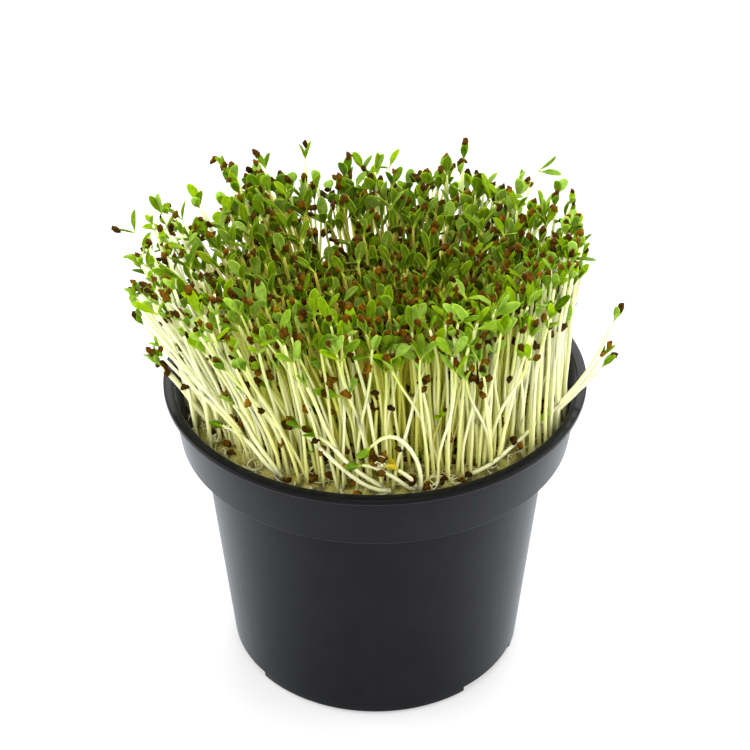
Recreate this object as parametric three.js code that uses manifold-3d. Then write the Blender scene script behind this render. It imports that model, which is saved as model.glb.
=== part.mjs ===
// A round black nursery pot filled with growing medium, and a dense stand of cress-like microgreens
// that grows out of a mat of its own roots. Millimetres, +Z up, origin at the middle of the pot's base.
import * as THREE from "three";
import { mergeGeometries, mergeVertices } from "three/addons/utils/BufferGeometryUtils.js";
import Module from "manifold-3d";

const wasm = await Module();
wasm.setup();

// Pot: a tapered body, a wider collar above a shoulder, and a thin lip.
const RIM_RADIUS = 52.5;
const POT_HEIGHT = 80.5;
const WALL = 0.9;
const LIP_HEIGHT = 1.5;
const LIP_EDGE = 0.4;
const COLLAR_HEIGHT = 15.7;
const COLLAR_TOP_RADIUS = 50.9;
const COLLAR_BOTTOM_RADIUS = 48.8;
const SHOULDER_RADIUS = 43.7;
const BASE_RADIUS = 37.5;
const FOOT_ROUND = 1.0;
const FLOOR = 1.2;
const POT_SIDES = 48;

// Drainage: three raised channels in the base, each with a slot, and three shallow reliefs between.
const CHANNELS = 3;
const CHANNEL_ANGLE = -36.5;
const CHANNEL_WIDTH = 33;
const CHANNEL_HEIGHT = 2.5;
const CHANNEL_INNER = 24;
const RELIEF_WIDTH = 17;
const RELIEF_HEIGHT = 0.35;
const SLOT_INNER = 27;
const SLOT_OUTER = 34;
const SLOT_WIDTH = 8;
const ROOF_MARGIN = 3;

// Growing medium and the root mat, which is laid out as one disc and two rings of patches.
const GAP = 0.4;
const MEDIUM_TOP = 72.4;
const MEDIUM_SIDES = 32;
const PATCH_EDGES = [0, 11.4, 28.2, 44.6];
const PATCH_COUNTS = [1, 6, 12];
const PATCH_TOPS = [78.2, 77.9, 77.2];
const RING_NAMES = ["centre", "inner", "outer"];
const ROOT_DEPTH = 2.4;
const EDGE_MARGIN = 1.0;
const DISC_SIDES = 18;
const ARC_STEPS = 3;

// Sprouts: a bent stem with a pair of cotyledons, some of them still capped by a brown seed coat.
const SPROUTS = 232;
const BED_RADIUS = 43.2;
const GOLDEN_ANGLE = Math.PI * (3 - Math.sqrt(5));
const TRIES = 24;
const SEED = 4711;
const JITTER = 1.6;
const STEM_RADIUS = 0.55;
const CANOPY_HEIGHT = 107.5;
const FRONT_RISE = 9;
const SIDE_RISE = 4;
const HEIGHT_SPREAD = 10;
const SHORT_EVERY = 9;
const SHORT_DROP = 12;
const LEFT_LEAN = 13;
const LEFT_TURN = 0.35;
const LEAN_FROM = 24;
const LEAN_POWER = 1.5;
const RIGHT_LEAN = 3;
const LEAN_OUT = 0.06;
const BACK_SPREAD = 0.17;
const LEAN_JITTER = 7;
const BOW = 2.4;
const LOW_BEND = new THREE.Vector3(0.12, 0.12, 0.36);
const HIGH_BEND = new THREE.Vector3(0.62, 0.62, 0.72);
const STRAY_LOW = 0.55;
const STRAY_HIGH = 0.35;
const STRAY_LEAF = 4.8;
const LEAF_LENGTH = 6.3;
const LEAF_LENGTH_SPREAD = 1.8;
const LEAF_WIDTH = 2.8;
const LEAF_THICKNESS = 0.9;
const LEAF_ARCH = 0.9;
const LEAF_STATIONS = [0.86, 0.5];
const STEM_STATIONS = [0.5, 0.04];
const PETIOLE = 0.2;
const OPENING = 0.2;
const OPENING_SPREAD = 0.75;
const OPENING_TWIST = 0.25;
const COAT_SHARE = 0.4;
const COAT_RADII = [1.0, 1.5, 0.9];
const COAT_PLACE = 0.92;
const CLEARANCE = 0.3;
const STEM_BALLS = 22;
const LEAF_BALLS = [-0.9, -0.65, -0.35, 0.35, 0.65, 0.9];
const END_BALL = 0.9;

// Sprouts that hang out over the lip: foot on the mat, the point they bend over, and the tip.
const STRAYS = [
  { foot: [37, -20], over: [50.7, -17, 88], tip: [56.6, -13.5, 103.5], facing: 0.9 },
  { foot: [38.5, -19.5], over: [50.5, -14.5, 86], tip: [54.2, -12.5, 92.5], facing: 0.3 },
  { foot: [39.5, -17.5], over: [51, -12.5, 85], tip: [54.8, -10, 88], facing: 1.2 },
  { foot: [-38.5, -17.5], over: [-48.6, -13, 87], tip: [-51.2, -12.5, 90.5], facing: 2.6 },
  { foot: [-39.5, -15], over: [-49, -10.5, 86], tip: [-52, -10, 90], facing: 0.4 },
];

// Park-Miller generator: exact in double precision, so every run grows the same stand.
function makeRandom(seed) {
  let state = seed;
  return () => {
    state = (state * 48271) % 2147483647;
    return state / 2147483647;
  };
}

function solidFrom(geometry) {
  geometry.deleteAttribute("normal");
  geometry.deleteAttribute("uv");
  const merged = mergeVertices(geometry);
  const mesh = new wasm.Mesh({
    numProp: 3,
    vertProperties: merged.attributes.position.array,
    triVerts: new Uint32Array(merged.index.array),
  });
  return new wasm.Manifold(mesh);
}

function meshFrom(solid, name, material) {
  const { vertProperties, triVerts } = solid.getMesh();
  const geometry = new THREE.BufferGeometry();
  geometry.setAttribute("position", new THREE.BufferAttribute(vertProperties, 3));
  geometry.setIndex(new THREE.BufferAttribute(triVerts, 1));
  geometry.computeVertexNormals();
  const mesh = new THREE.Mesh(geometry, material);
  mesh.name = name;
  return mesh;
}

// A solid of revolution about Z; the profile runs from the axis round the outside and back to it.
function turned(profile, sides) {
  const points = profile.map(([radius, height]) => new THREE.Vector2(radius, height));
  return solidFrom(new THREE.LatheGeometry(points, sides).rotateX(Math.PI / 2));
}

// A block between two radii, two angles in degrees and two heights; it keeps `inset` inside them.
function sectorBlock(inner, outer, centre, width, bottom, top, inset = 0) {
  const half = THREE.MathUtils.degToRad(width / 2);
  const middle = THREE.MathUtils.degToRad(centre);
  const [r0, r1] = [inner + inset, outer - inset];
  const [turn0, turn1] = [half - Math.asin(inset / r0), half - Math.asin(inset / r1)];
  const shape = new THREE.Shape();
  shape.absarc(0, 0, r1, middle - turn1, middle + turn1, false);
  shape.absarc(0, 0, r0, middle + turn0, middle - turn0, true);
  const options = { depth: top - bottom, bevelEnabled: false, curveSegments: ARC_STEPS };
  return solidFrom(new THREE.ExtrudeGeometry(shape, options).translate(0, 0, bottom));
}

// The same number of sector blocks evenly round the axis.
function ringOfBlocks(count, inner, outer, firstAngle, width, bottom, top) {
  return Array.from({ length: count }, (_, i) =>
    sectorBlock(inner, outer, firstAngle + (360 / count) * i, width, bottom, top),
  );
}

const SHOULDER_HEIGHT = POT_HEIGHT - COLLAR_HEIGHT;
const CHANNEL_ROOF = CHANNEL_HEIGHT + WALL;

function makePot() {
  const shell = turned(
    [
      [0, 0],
      [BASE_RADIUS - FOOT_ROUND, 0],
      [BASE_RADIUS, FOOT_ROUND],
      [SHOULDER_RADIUS, SHOULDER_HEIGHT],
      [COLLAR_BOTTOM_RADIUS - LIP_EDGE, SHOULDER_HEIGHT],
      [COLLAR_BOTTOM_RADIUS, SHOULDER_HEIGHT + LIP_EDGE],
      [COLLAR_TOP_RADIUS, POT_HEIGHT - LIP_HEIGHT],
      [RIM_RADIUS, POT_HEIGHT - LIP_HEIGHT],
      [RIM_RADIUS, POT_HEIGHT - LIP_EDGE],
      [RIM_RADIUS - LIP_EDGE, POT_HEIGHT],
      [COLLAR_TOP_RADIUS - WALL, POT_HEIGHT],
      [COLLAR_BOTTOM_RADIUS - WALL, SHOULDER_HEIGHT + WALL],
      [SHOULDER_RADIUS - WALL, SHOULDER_HEIGHT + WALL],
      [BASE_RADIUS - WALL, FLOOR],
      [0, FLOOR],
    ],
    POT_SIDES,
  );
  const spacing = 360 / CHANNELS;
  const raised = ringOfBlocks(
    CHANNELS, CHANNEL_INNER - WALL, BASE_RADIUS - WALL / 2,
    CHANNEL_ANGLE, CHANNEL_WIDTH + ROOF_MARGIN, FLOOR / 2, CHANNEL_ROOF,
  );
  const channels = ringOfBlocks(
    CHANNELS, CHANNEL_INNER, RIM_RADIUS, CHANNEL_ANGLE, CHANNEL_WIDTH, -1, CHANNEL_HEIGHT,
  );
  const reliefs = ringOfBlocks(
    CHANNELS, CHANNEL_INNER, RIM_RADIUS, CHANNEL_ANGLE + spacing / 2, RELIEF_WIDTH, -1, RELIEF_HEIGHT,
  );
  const slots = ringOfBlocks(
    CHANNELS, SLOT_INNER, SLOT_OUTER, CHANNEL_ANGLE, SLOT_WIDTH, 0, CHANNEL_ROOF + 1,
  );
  const joined = raised.reduce((solid, block) => solid.add(block), shell);
  return [...channels, ...reliefs, ...slots].reduce((solid, block) => solid.subtract(block), joined);
}

// The medium follows the pot's inner wall with a small gap and steps over the raised channels.
function makeMedium() {
  const wallAt = (height) =>
    THREE.MathUtils.mapLinear(
      height,
      SHOULDER_HEIGHT + WALL, POT_HEIGHT,
      COLLAR_BOTTOM_RADIUS - WALL, COLLAR_TOP_RADIUS - WALL,
    );
  const body = turned(
    [
      [0, FLOOR + GAP],
      [BASE_RADIUS - WALL - GAP, FLOOR + GAP],
      [SHOULDER_RADIUS - WALL - GAP, SHOULDER_HEIGHT + WALL + GAP],
      [COLLAR_BOTTOM_RADIUS - WALL - GAP, SHOULDER_HEIGHT + WALL + GAP],
      [wallAt(MEDIUM_TOP - GAP) - GAP, MEDIUM_TOP - GAP],
      [0, MEDIUM_TOP - GAP],
    ],
    MEDIUM_SIDES,
  );
  const recesses = ringOfBlocks(
    CHANNELS, CHANNEL_INNER - WALL - GAP, RIM_RADIUS,
    CHANNEL_ANGLE, CHANNEL_WIDTH + 2 * ROOF_MARGIN, 0, CHANNEL_ROOF + GAP,
  );
  return recesses.reduce((solid, block) => solid.subtract(block), body);
}

// Which ring and patch of the mat a point is on, and the point moved clear of the patch's edges.
function patchFor(x, y) {
  const radius = Math.hypot(x, y);
  const turn = (Math.atan2(y, x) + 2 * Math.PI) % (2 * Math.PI);
  const ring = PATCH_EDGES.findIndex((edge) => radius < edge) - 1;
  const count = PATCH_COUNTS[ring];
  const step = (2 * Math.PI) / count;
  const patch = Math.floor(turn / step);
  const inner = ring === 0 ? 0 : PATCH_EDGES[ring] + EDGE_MARGIN;
  const kept = THREE.MathUtils.clamp(radius, inner, PATCH_EDGES[ring + 1] - EDGE_MARGIN);
  const slack = ring === 0 ? 0 : EDGE_MARGIN / kept;
  const angle = THREE.MathUtils.clamp(turn, patch * step + slack, (patch + 1) * step - slack);
  return { ring, patch, x: kept * Math.cos(angle), y: kept * Math.sin(angle) };
}

// How far a stem that starts at x, y leans by its tip: fanned out at the back and to the left, most
// at the front left.
function leanAt(x, y) {
  const left = Math.max(0, (LEAN_FROM - x) / (LEAN_FROM + BED_RADIUS));
  const right = Math.max(0, (x - LEAN_FROM) / (BED_RADIUS - LEAN_FROM));
  const turned = 1 - (LEFT_TURN * y) / BED_RADIUS;
  const sides = RIGHT_LEAN * right - LEFT_LEAN * Math.pow(left, LEAN_POWER) * turned;
  const back = (BACK_SPREAD * x * Math.max(0, y)) / BED_RADIUS;
  return [sides + back, LEAN_OUT * y];
}

// The middle height of the tips over a foot at x, y: lowest at the back, higher at front and sides.
function heightAt(x, y) {
  const front = Math.max(0, -y / BED_RADIUS);
  return CANOPY_HEIGHT + FRONT_RISE * front + SIDE_RISE * Math.pow(x / BED_RADIUS, 2);
}

function vector(x, y, z) {
  return new THREE.Vector3(x, y, z);
}

// The frame of a leaf pair: where it sits, the stem's direction there, and the way the pair faces.
function leafFrame(sprout) {
  const tip = sprout.curve.v3;
  const along = tip.clone().sub(sprout.curve.v2).normalize();
  const across = vector(Math.cos(sprout.facing), Math.sin(sprout.facing), 0);
  across.addScaledVector(along, -across.dot(along)).normalize();
  return { tip, along, across, width: along.clone().cross(across) };
}

// A point on a leaf pair, with the blade's direction and the normal of its upper face there:
// u runs from -1 at one tip through 0 on the stem to 1 at the other tip.
function leafPoint(sprout, frame, u) {
  const side = Math.sign(u);
  const opening = side === 0 ? Math.PI / 2 : sprout.openings[side < 0 ? 0 : 1];
  const direction = frame.along.clone().multiplyScalar(Math.cos(opening));
  direction.addScaledVector(frame.across, (side || 1) * Math.sin(opening));
  const face = frame.along.clone().multiplyScalar(Math.sin(opening));
  face.addScaledVector(frame.across, -side * Math.cos(opening));
  const point = frame.tip.clone().addScaledVector(direction, Math.abs(u) * sprout.leafLength);
  point.addScaledVector(face, -LEAF_ARCH * u * u);
  return { point, direction, face };
}

// Half the width of a cotyledon along its length: a narrow stalk, a broad blade and a round tip.
function leafHalfWidth(u) {
  const along = Math.abs(u);
  const swelling = PETIOLE + (1 - PETIOLE) * THREE.MathUtils.smoothstep(along, 0.1, 0.55);
  const tip = Math.max(0, (along - 0.6) / 0.4);
  return (LEAF_WIDTH / 2) * swelling * Math.sqrt(Math.max(0, 1 - tip * tip));
}

// Balls that stand for a sprout while its neighbours are kept clear of it.
function ballsOf(sprout) {
  const frame = leafFrame(sprout);
  const balls = [];
  for (let step = 1; step <= STEM_BALLS; step += 1) {
    balls.push({ centre: sprout.curve.getPoint(step / STEM_BALLS), radius: STEM_RADIUS });
  }
  for (const u of LEAF_BALLS) {
    const capped = sprout.coats.includes(Math.sign(u)) && Math.abs(u) === END_BALL;
    const radius = capped ? COAT_RADII[1] : leafHalfWidth(u);
    balls.push({ centre: leafPoint(sprout, frame, u).point, radius });
  }
  return balls;
}

function areClear(balls, others) {
  return balls.every((a) =>
    others.every((b) => a.centre.distanceTo(b.centre) > a.radius + b.radius + CLEARANCE),
  );
}

// One try at a sprout on its foot: the stem rises, bends one way, leans out and bends back.
function drawSprout(random, foot, height, lean) {
  const sway = random() * 2 * Math.PI;
  const bow = vector(Math.cos(sway), Math.sin(sway), 0).multiplyScalar(BOW * random());
  const tip = vector(
    foot.x + lean[0] + LEAN_JITTER * (random() - 0.5),
    foot.y + lean[1] + LEAN_JITTER * (random() - 0.5),
    height + HEIGHT_SPREAD * (random() - 0.5),
  );
  const reach = tip.clone().sub(foot);
  const low = foot.clone().add(reach.clone().multiply(LOW_BEND)).add(bow);
  const high = foot.clone().add(reach.clone().multiply(HIGH_BEND)).sub(bow);
  return { curve: new THREE.CubicBezierCurve3(foot, low, high, tip), ...drawLeaves(random) };
}

function drawLeaves(random) {
  const facing = random() * Math.PI;
  const opening = OPENING + OPENING_SPREAD * random();
  const twist = OPENING_TWIST * (random() - 0.5);
  const leafLength = LEAF_LENGTH + LEAF_LENGTH_SPREAD * (random() - 0.5);
  const coated = random();
  const coats = coated < COAT_SHARE ? [coated < COAT_SHARE / 2 ? -1 : 1] : [];
  return { facing, openings: [opening + twist, opening - twist], leafLength, coats };
}

function growStray(random, stray) {
  const foot = vector(stray.foot[0], stray.foot[1], PATCH_TOPS[2] - ROOT_DEPTH);
  const tip = vector(...stray.tip);
  const over = vector(...stray.over);
  const low = foot.clone().lerp(over, STRAY_LOW);
  const high = over.clone().lerp(tip, STRAY_HIGH);
  const leaves = drawLeaves(random);
  leaves.facing = stray.facing;
  leaves.openings = [OPENING, OPENING];
  leaves.leafLength = STRAY_LEAF;
  leaves.coats = [1];
  return { curve: new THREE.CubicBezierCurve3(foot, low, high, tip), ...leaves };
}

// The stand: feet on a sunflower spiral, each sprout drawn again until it is clear of the others.
function growStand() {
  const random = makeRandom(SEED);
  const stand = [];
  for (const stray of STRAYS) {
    const { ring, patch } = patchFor(...stray.foot);
    const sprout = growStray(random, stray);
    stand.push({ ...sprout, ring, patch, balls: ballsOf(sprout) });
  }
  for (let index = 0; index < SPROUTS; index += 1) {
    const radius = BED_RADIUS * Math.sqrt((index + 0.5) / SPROUTS);
    const angle = index * GOLDEN_ANGLE;
    const x = radius * Math.cos(angle) + JITTER * (random() - 0.5);
    const y = radius * Math.sin(angle) + JITTER * (random() - 0.5);
    const { ring, patch, ...place } = patchFor(x, y);
    const foot = vector(place.x, place.y, PATCH_TOPS[ring] - ROOT_DEPTH);
    const lean = leanAt(place.x, place.y);
    const drop = index % SHORT_EVERY === 0 ? SHORT_DROP : 0;
    const height = heightAt(place.x, place.y) - drop;
    for (let attempt = 0; attempt < TRIES; attempt += 1) {
      const sprout = drawSprout(random, foot, height, lean);
      const balls = ballsOf(sprout);
      if (stand.every((other) => areClear(balls, other.balls))) {
        stand.push({ ...sprout, ring, patch, balls });
        break;
      }
    }
  }
  return stand;
}

// The faces of a tube whose rings run through the given corners, from its far end to its near end.
function tubeThrough(rings) {
  const sides = rings[0].length;
  const tube = new THREE.CylinderGeometry(1, 1, 1, sides, rings.length - 1, true);
  const position = tube.getAttribute("position");
  for (let i = 0; i < position.count; i += 1) {
    const corner = rings[Math.floor(i / (sides + 1))][(i % (sides + 1)) % sides];
    position.setXYZ(i, corner.x, corner.y, corner.z);
  }
  return tube;
}

// A four-cornered stem down to its point in the mat; its top ring is the fork of the two leaves.
function stemTube(sprout, fork) {
  const ringAt = (t) => {
    const centre = sprout.curve.getPoint(t);
    return fork.map((corner) => corner.clone().sub(sprout.curve.v3).add(centre));
  };
  const point = fork.map(() => sprout.curve.v0);
  return tubeThrough([fork, ...STEM_STATIONS.map(ringAt), point]);
}

// One cotyledon from its tip to the fork: flat above, keeled below.
function leafTube(sprout, frame, side, foot) {
  const rings = LEAF_STATIONS.map((u) => {
    const { point, face } = leafPoint(sprout, frame, side * u);
    const edge = point.clone().addScaledVector(face, LEAF_THICKNESS / 3);
    const keel = point.clone().addScaledVector(face, (-2 * LEAF_THICKNESS) / 3);
    const half = frame.width.clone().multiplyScalar(side * leafHalfWidth(u));
    return [keel, edge.clone().add(half), edge.clone().sub(half)];
  });
  const tip = leafPoint(sprout, frame, side).point;
  return tubeThrough([[tip, tip, tip], ...rings, foot]);
}

// A whole sprout as one closed surface: the three tubes share the corners of the fork.
function sproutSolid(sprout) {
  const frame = leafFrame(sprout);
  const cornerOf = (direction, sign) =>
    frame.tip.clone().addScaledVector(direction, sign * STEM_RADIUS);
  const [front, back] = [cornerOf(frame.across, 1), cornerOf(frame.across, -1)];
  const [left, right] = [cornerOf(frame.width, 1), cornerOf(frame.width, -1)];
  const tubes = [
    stemTube(sprout, [front, left, back, right]),
    leafTube(sprout, frame, 1, [front, left, right]),
    leafTube(sprout, frame, -1, [back, right, left]),
  ];
  return solidFrom(mergeGeometries(tubes));
}

// The seed coat that still caps one leaf tip.
function coatSolid(sprout, side) {
  const frame = leafFrame(sprout);
  const { point, direction, face } = leafPoint(sprout, frame, COAT_PLACE * side);
  const turn = new THREE.Matrix4().makeBasis(direction.clone().cross(face), direction, face);
  const coat = new THREE.OctahedronGeometry(1).scale(...COAT_RADII);
  return solidFrom(coat.applyMatrix4(turn).translate(point.x, point.y, point.z));
}

function matSolid(ring, patch) {
  if (ring === 0) {
    const radius = PATCH_EDGES[1] - GAP / 2;
    const height = PATCH_TOPS[0] - MEDIUM_TOP;
    const disc = new THREE.CylinderGeometry(radius, radius, height, DISC_SIDES).rotateX(Math.PI / 2);
    return solidFrom(disc.translate(0, 0, MEDIUM_TOP + height / 2));
  }
  const width = 360 / PATCH_COUNTS[ring];
  const [inner, outer] = [PATCH_EDGES[ring], PATCH_EDGES[ring + 1]];
  return sectorBlock(inner, outer, width * (patch + 0.5), width, MEDIUM_TOP, PATCH_TOPS[ring], GAP / 2);
}

// One patch of root mat with all the sprouts that are rooted in it, fused into one solid.
function patchSolid(stand, ring, patch) {
  const sprouts = stand.filter((sprout) => sprout.ring === ring && sprout.patch === patch);
  const pieces = sprouts.flatMap((sprout) => [
    sproutSolid(sprout),
    ...sprout.coats.map((side) => coatSolid(sprout, side)),
  ]);
  return pieces.reduce((solid, piece) => solid.add(piece), matSolid(ring, patch));
}

const potPlastic = new THREE.MeshStandardMaterial({ color: 0x1c1d20, roughness: 0.45, metalness: 0 });
const soil = new THREE.MeshStandardMaterial({ color: 0x3b2c20, roughness: 0.95, metalness: 0 });
const greens = new THREE.MeshStandardMaterial({ color: 0x7f9f3f, roughness: 0.6, metalness: 0 });

const microgreens = new THREE.Group();
microgreens.add(meshFrom(makePot(), "pot", potPlastic));
microgreens.add(meshFrom(makeMedium(), "growing_medium", soil));

const stand = growStand();
PATCH_COUNTS.forEach((count, ring) => {
  for (let patch = 0; patch < count; patch += 1) {
    const name = ["sprouts", RING_NAMES[ring], patch + 1].join("_");
    microgreens.add(meshFrom(patchSolid(stand, ring, patch), name, greens));
  }
});

export default microgreens;
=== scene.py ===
"""A round black nursery pot with a dense stand of microgreens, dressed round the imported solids.

The tables are in millimetres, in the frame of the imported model; MM turns them into metres.
"""

import math

import bmesh
import bpy
import numpy as np
from mathutils import Matrix, Vector, noise


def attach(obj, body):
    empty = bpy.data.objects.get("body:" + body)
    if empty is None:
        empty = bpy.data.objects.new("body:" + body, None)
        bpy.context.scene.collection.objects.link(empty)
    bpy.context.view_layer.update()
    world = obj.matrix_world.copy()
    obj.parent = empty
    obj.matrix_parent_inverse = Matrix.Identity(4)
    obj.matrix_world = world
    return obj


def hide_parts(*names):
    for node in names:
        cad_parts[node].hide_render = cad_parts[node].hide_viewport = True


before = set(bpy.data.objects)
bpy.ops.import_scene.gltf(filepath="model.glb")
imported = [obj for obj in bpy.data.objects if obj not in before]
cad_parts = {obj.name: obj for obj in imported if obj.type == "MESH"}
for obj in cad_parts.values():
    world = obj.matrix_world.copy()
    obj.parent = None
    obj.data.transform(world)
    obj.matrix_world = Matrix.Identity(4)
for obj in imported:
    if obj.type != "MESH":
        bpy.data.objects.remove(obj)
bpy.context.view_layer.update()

MM = 0.001

# Pot. The angles and widths of its channels, reliefs and slots are in degrees, and a slot is given
# by its inner and outer radius and its width.
RIM_RADIUS = 52.5
POT_HEIGHT = 80.5
WALL = 0.9
LIP_HEIGHT = 1.5
SHOULDER_HEIGHT = 64.8
COLLAR_TOP_RADIUS = 50.9
COLLAR_BOTTOM_RADIUS = 48.8
SHOULDER_RADIUS = 43.7
BASE_RADIUS = 37.5
FLOOR = 1.2
POT_STEPS = 144
ROUNDING = 0.3
CHANNEL_ANGLES = (-36.5, 83.5, 203.5)
RELIEF_ANGLES = (23.5, 143.5, 263.5)
CHANNEL_WIDTH = 33
CHANNEL_HEIGHT = 2.5
CHANNEL_INNER = 24
RELIEF_WIDTH = 17
RELIEF_HEIGHT = 0.35
SLOT = (27, 34, 8)
ROOF_MARGIN = 3

# Growing medium and root mat. The mat's top is a low dome through these radii and heights, and
# CRUMBLY and FELTED give how much each surface is roughened and the size of its lumps.
GAP = 0.4
MEDIUM_TOP = 72.4
MEDIUM_STEPS = 192
MAT_STEPS = 180
CRUMBLY_FROM = 43
CRUMBLY = (0.55, 1.7)
FELTED = ((0.75, 3.4), (0.35, 1.1))
MAT_DOME = ((0, 20, 36, 43, 44.6), (78.2, 77.95, 77.3, 76.7, 75.4))
PATCH_EDGES = (0, 11.4, 28.2, 44.6)
PATCH_COUNTS = (1, 6, 12)
PATCH_TOPS = (78.2, 77.9, 77.2)
RING_NAMES = ("centre", "inner", "outer")
ROOT_DEPTH = 2.4
EDGE_MARGIN = 1.0

# The stand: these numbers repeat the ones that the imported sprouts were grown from.
SPROUTS = 232
BED_RADIUS = 43.2
GOLDEN_ANGLE = math.pi * (3 - math.sqrt(5))
TRIES = 24
SEED = 4711
JITTER = 1.6
STEM_RADIUS = 0.55
CANOPY_HEIGHT = 107.5
FRONT_RISE = 9
SIDE_RISE = 4
HEIGHT_SPREAD = 10
SHORT_EVERY = 9
SHORT_DROP = 12
LEFT_LEAN = 13
LEFT_TURN = 0.35
LEAN_FROM = 24
LEAN_POWER = 1.5
RIGHT_LEAN = 3
LEAN_OUT = 0.06
BACK_SPREAD = 0.17
LEAN_JITTER = 7
BOW = 2.4
LOW_BEND = np.array((0.12, 0.12, 0.36))
HIGH_BEND = np.array((0.62, 0.62, 0.72))
STRAY_LOW = 0.55
STRAY_HIGH = 0.35
STRAY_LEAF = 4.8
LEAF_LENGTH = 6.3
LEAF_LENGTH_SPREAD = 1.8
LEAF_WIDTH = 2.8
LEAF_ARCH = 0.9
PETIOLE = 0.2
OPENING = 0.2
OPENING_SPREAD = 0.75
OPENING_TWIST = 0.25
COAT_SHARE = 0.4
COAT_RADIUS = 1.5
COAT_PLACE = 0.92
CLOSED_OPENING = 0.3
CLEARANCE = 0.3
STEM_BALLS = np.arange(1, 23) / 22
LEAF_BALLS = np.array((-0.9, -0.65, -0.35, 0.35, 0.65, 0.9))
BALL_MARGIN = 4

# Sprouts that hang out over the lip: the foot on the mat, the point they bend over, the tip and
# the way their leaves face.
STRAYS = (
    ((37, -20), (50.7, -17, 88), (56.6, -13.5, 103.5), 0.9),
    ((38.5, -19.5), (50.5, -14.5, 86), (54.2, -12.5, 92.5), 0.3),
    ((39.5, -17.5), (51, -12.5, 85), (54.8, -10, 88), 1.2),
    ((-38.5, -17.5), (-48.6, -13, 87), (-51.2, -12.5, 90.5), 2.6),
    ((-39.5, -15), (-49, -10.5, 86), (-52, -10, 90), 0.4),
)
STRAY_GIRTH = 1.15
STRAY_BREADTH = 0.76

# The room that the finer sprouts keep inside, and the height that their leaves stay above.
REACH_LEFT = 61
REACH_RIGHT = 49.5
REACH_BACK = 48.6
REACH_FRONT = 49.5
REACH_UP = 125.6
LEFT_TAPER = 0.35
RIGHT_TAPER = 0.28
UNDERSIDE = (
    (-58, -50, -43, -36, -25, 25, 35, 42, 50),
    (103, 102, 99, 93, 86, 86, 92, 102, 105),
)
UNDERSIDE_SLOPE = 0.687
UNDERSIDE_CAP = ((36, 44), (112.5, 117))
UNDERSIDE_SLACK = 15
SLACK_WITHIN = 27
SLACK_BEYOND = 0.3

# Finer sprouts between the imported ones. What drawn() takes, such as FILL_OPENNESS, is the least
# value, how much may come on top and, where there is one, the power that skews the draw. The hollow
# is a dip in the stand: its middle, its size and its depth.
FILL_SPROUTS = 960
FILL_SEED = 90210
FILL_TRIES = 12
FILL_TURN = 0.71
FILL_JITTER = 2.0
FILL_LEAN_JITTER = 9
FILL_DROP = 1.5
FILL_HEIGHT_SPREAD = 5
FILL_SHORT_DROP = 16
FILL_SHORT_SHARE = 0.06
FILL_BALL_SHARE = 0.52
FILL_OPENNESS = (0.12, 1.05, 1.8)
FILL_ARCH = (0.1, 0.8)
FILL_LEAF = (0.6, 0.32)
FILL_COAT_SHARE = 0.64
FILL_PAIR_SHARE = 0.35
FEW_COATS = 0.5
FEW_COATS_BEYOND = -26
PALE_LEAF = 0.38
BACK_BREADTH = 0.5
BACK_BREADTH_FROM = (4, 28)
BACK_RISE = 2.6
BACK_RISE_FROM = (14, 36)
RIGHT_RISE = 4.5
RIGHT_RISE_FROM = (34, 42)
HOLLOW = (7, 12, 17, 7)

# Where the stand is thinner: towards the left, at both far sides, and in bare partings given by
# their middle and their half width and depth.
THIN_FROM = -9
THIN_OVER = 18
THIN_BEHIND = 0.8
THIN_BY = 0.6
FAR_LEFT = -33
FAR_LEFT_THIN = 0.2
FAR_LEFT_EDGE_THIN = 0.55
FAR_LEFT_EDGE_FRONT = -14
THIN_OUT = 0.2
THIN_OUT_FROM = (33, 42)
THIN_SEED = 515
BARE_SPOTS = (
    (-9.5, 34, 4.2, 16),
    (-30, 20, 2.4, 9),
    (-37, 4, 3.4, 8),
    (3, 39.5, 3.6, 6),
    (8.3, -41, 4.2, 4.2),
)

# Finer sprouts close to the rim, which lean and cross more than the rest.
EDGE_SPROUTS = 260
EDGE_SEED = 6107
EDGE_RADII = (39.5, 43.9)
EDGE_HEIGHT_SPREAD = 5
EDGE_LEAN_JITTER = 11
FRONT_CROSSING = 2.0
FRONT_FROM = -22

# Upright sprouts that root in the bare medium between the mat and the wall. Each group has its
# turn in degrees, how many are tried, how far they lean, the radii of the feet, the heights of the
# tips, the lengths of the leaves and the girth of the stems.
WALL_REACH = 51.8
WALL_SEED = 2741
WALL_ROOT_DEPTH = 1.0
WALL_SWAY = 6
WALL_BOW = (0.8, 1.2)
WALL_SIDE_BOW = 1.5
WALL_OPENING = (0.1, 0.3)
WALL_BENDS = (0.36, 0.74)
WALL_SLACK = 2.0
WALL_COAT_SHARE = 0.35
WALL_BALL_SHARE = 0.36
WALL_GROUPS = (
    ((158, 214), 46, (-4, -11), (44.9, 47.2), (107, 120), (2.4, 3.8), 1.15),
    ((-38, 26), 170, (2.5, -1.5), (44.9, 48.0), (107, 120.5), (3.1, 4.4), 1.1),
    ((-16, 18), 110, (3, 0.5), (46.6, 48.1), (107, 120.5), (2.8, 4.0), 1.05),
)

# Late sprouts low between the stems.
LATE_SPROUTS = 320
LATE_SEED = 1213
LATE_RADII = (24, 44)
LATE_RISE = (5, 22, 1.2)
LATE_LEAF = (2.4, 4.2)
LATE_REACH = 46
LATE_SPREAD = 0.5
LATE_BOW = 2.2
LATE_TIP_BOW = 1.4
LATE_OPENINGS = ((0.1, 0.5), (0.1, 0.3))
LATE_BENDS = (0.35, 0.75)
LATE_COAT_SHARE = 0.8
LATE_GIRTH = (0.62, 0.2)
LATE_BALL_SHARE = 0.35
WITHERED_SHARE = 0.035
LYING_CLEARANCE = 2.6

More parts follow.
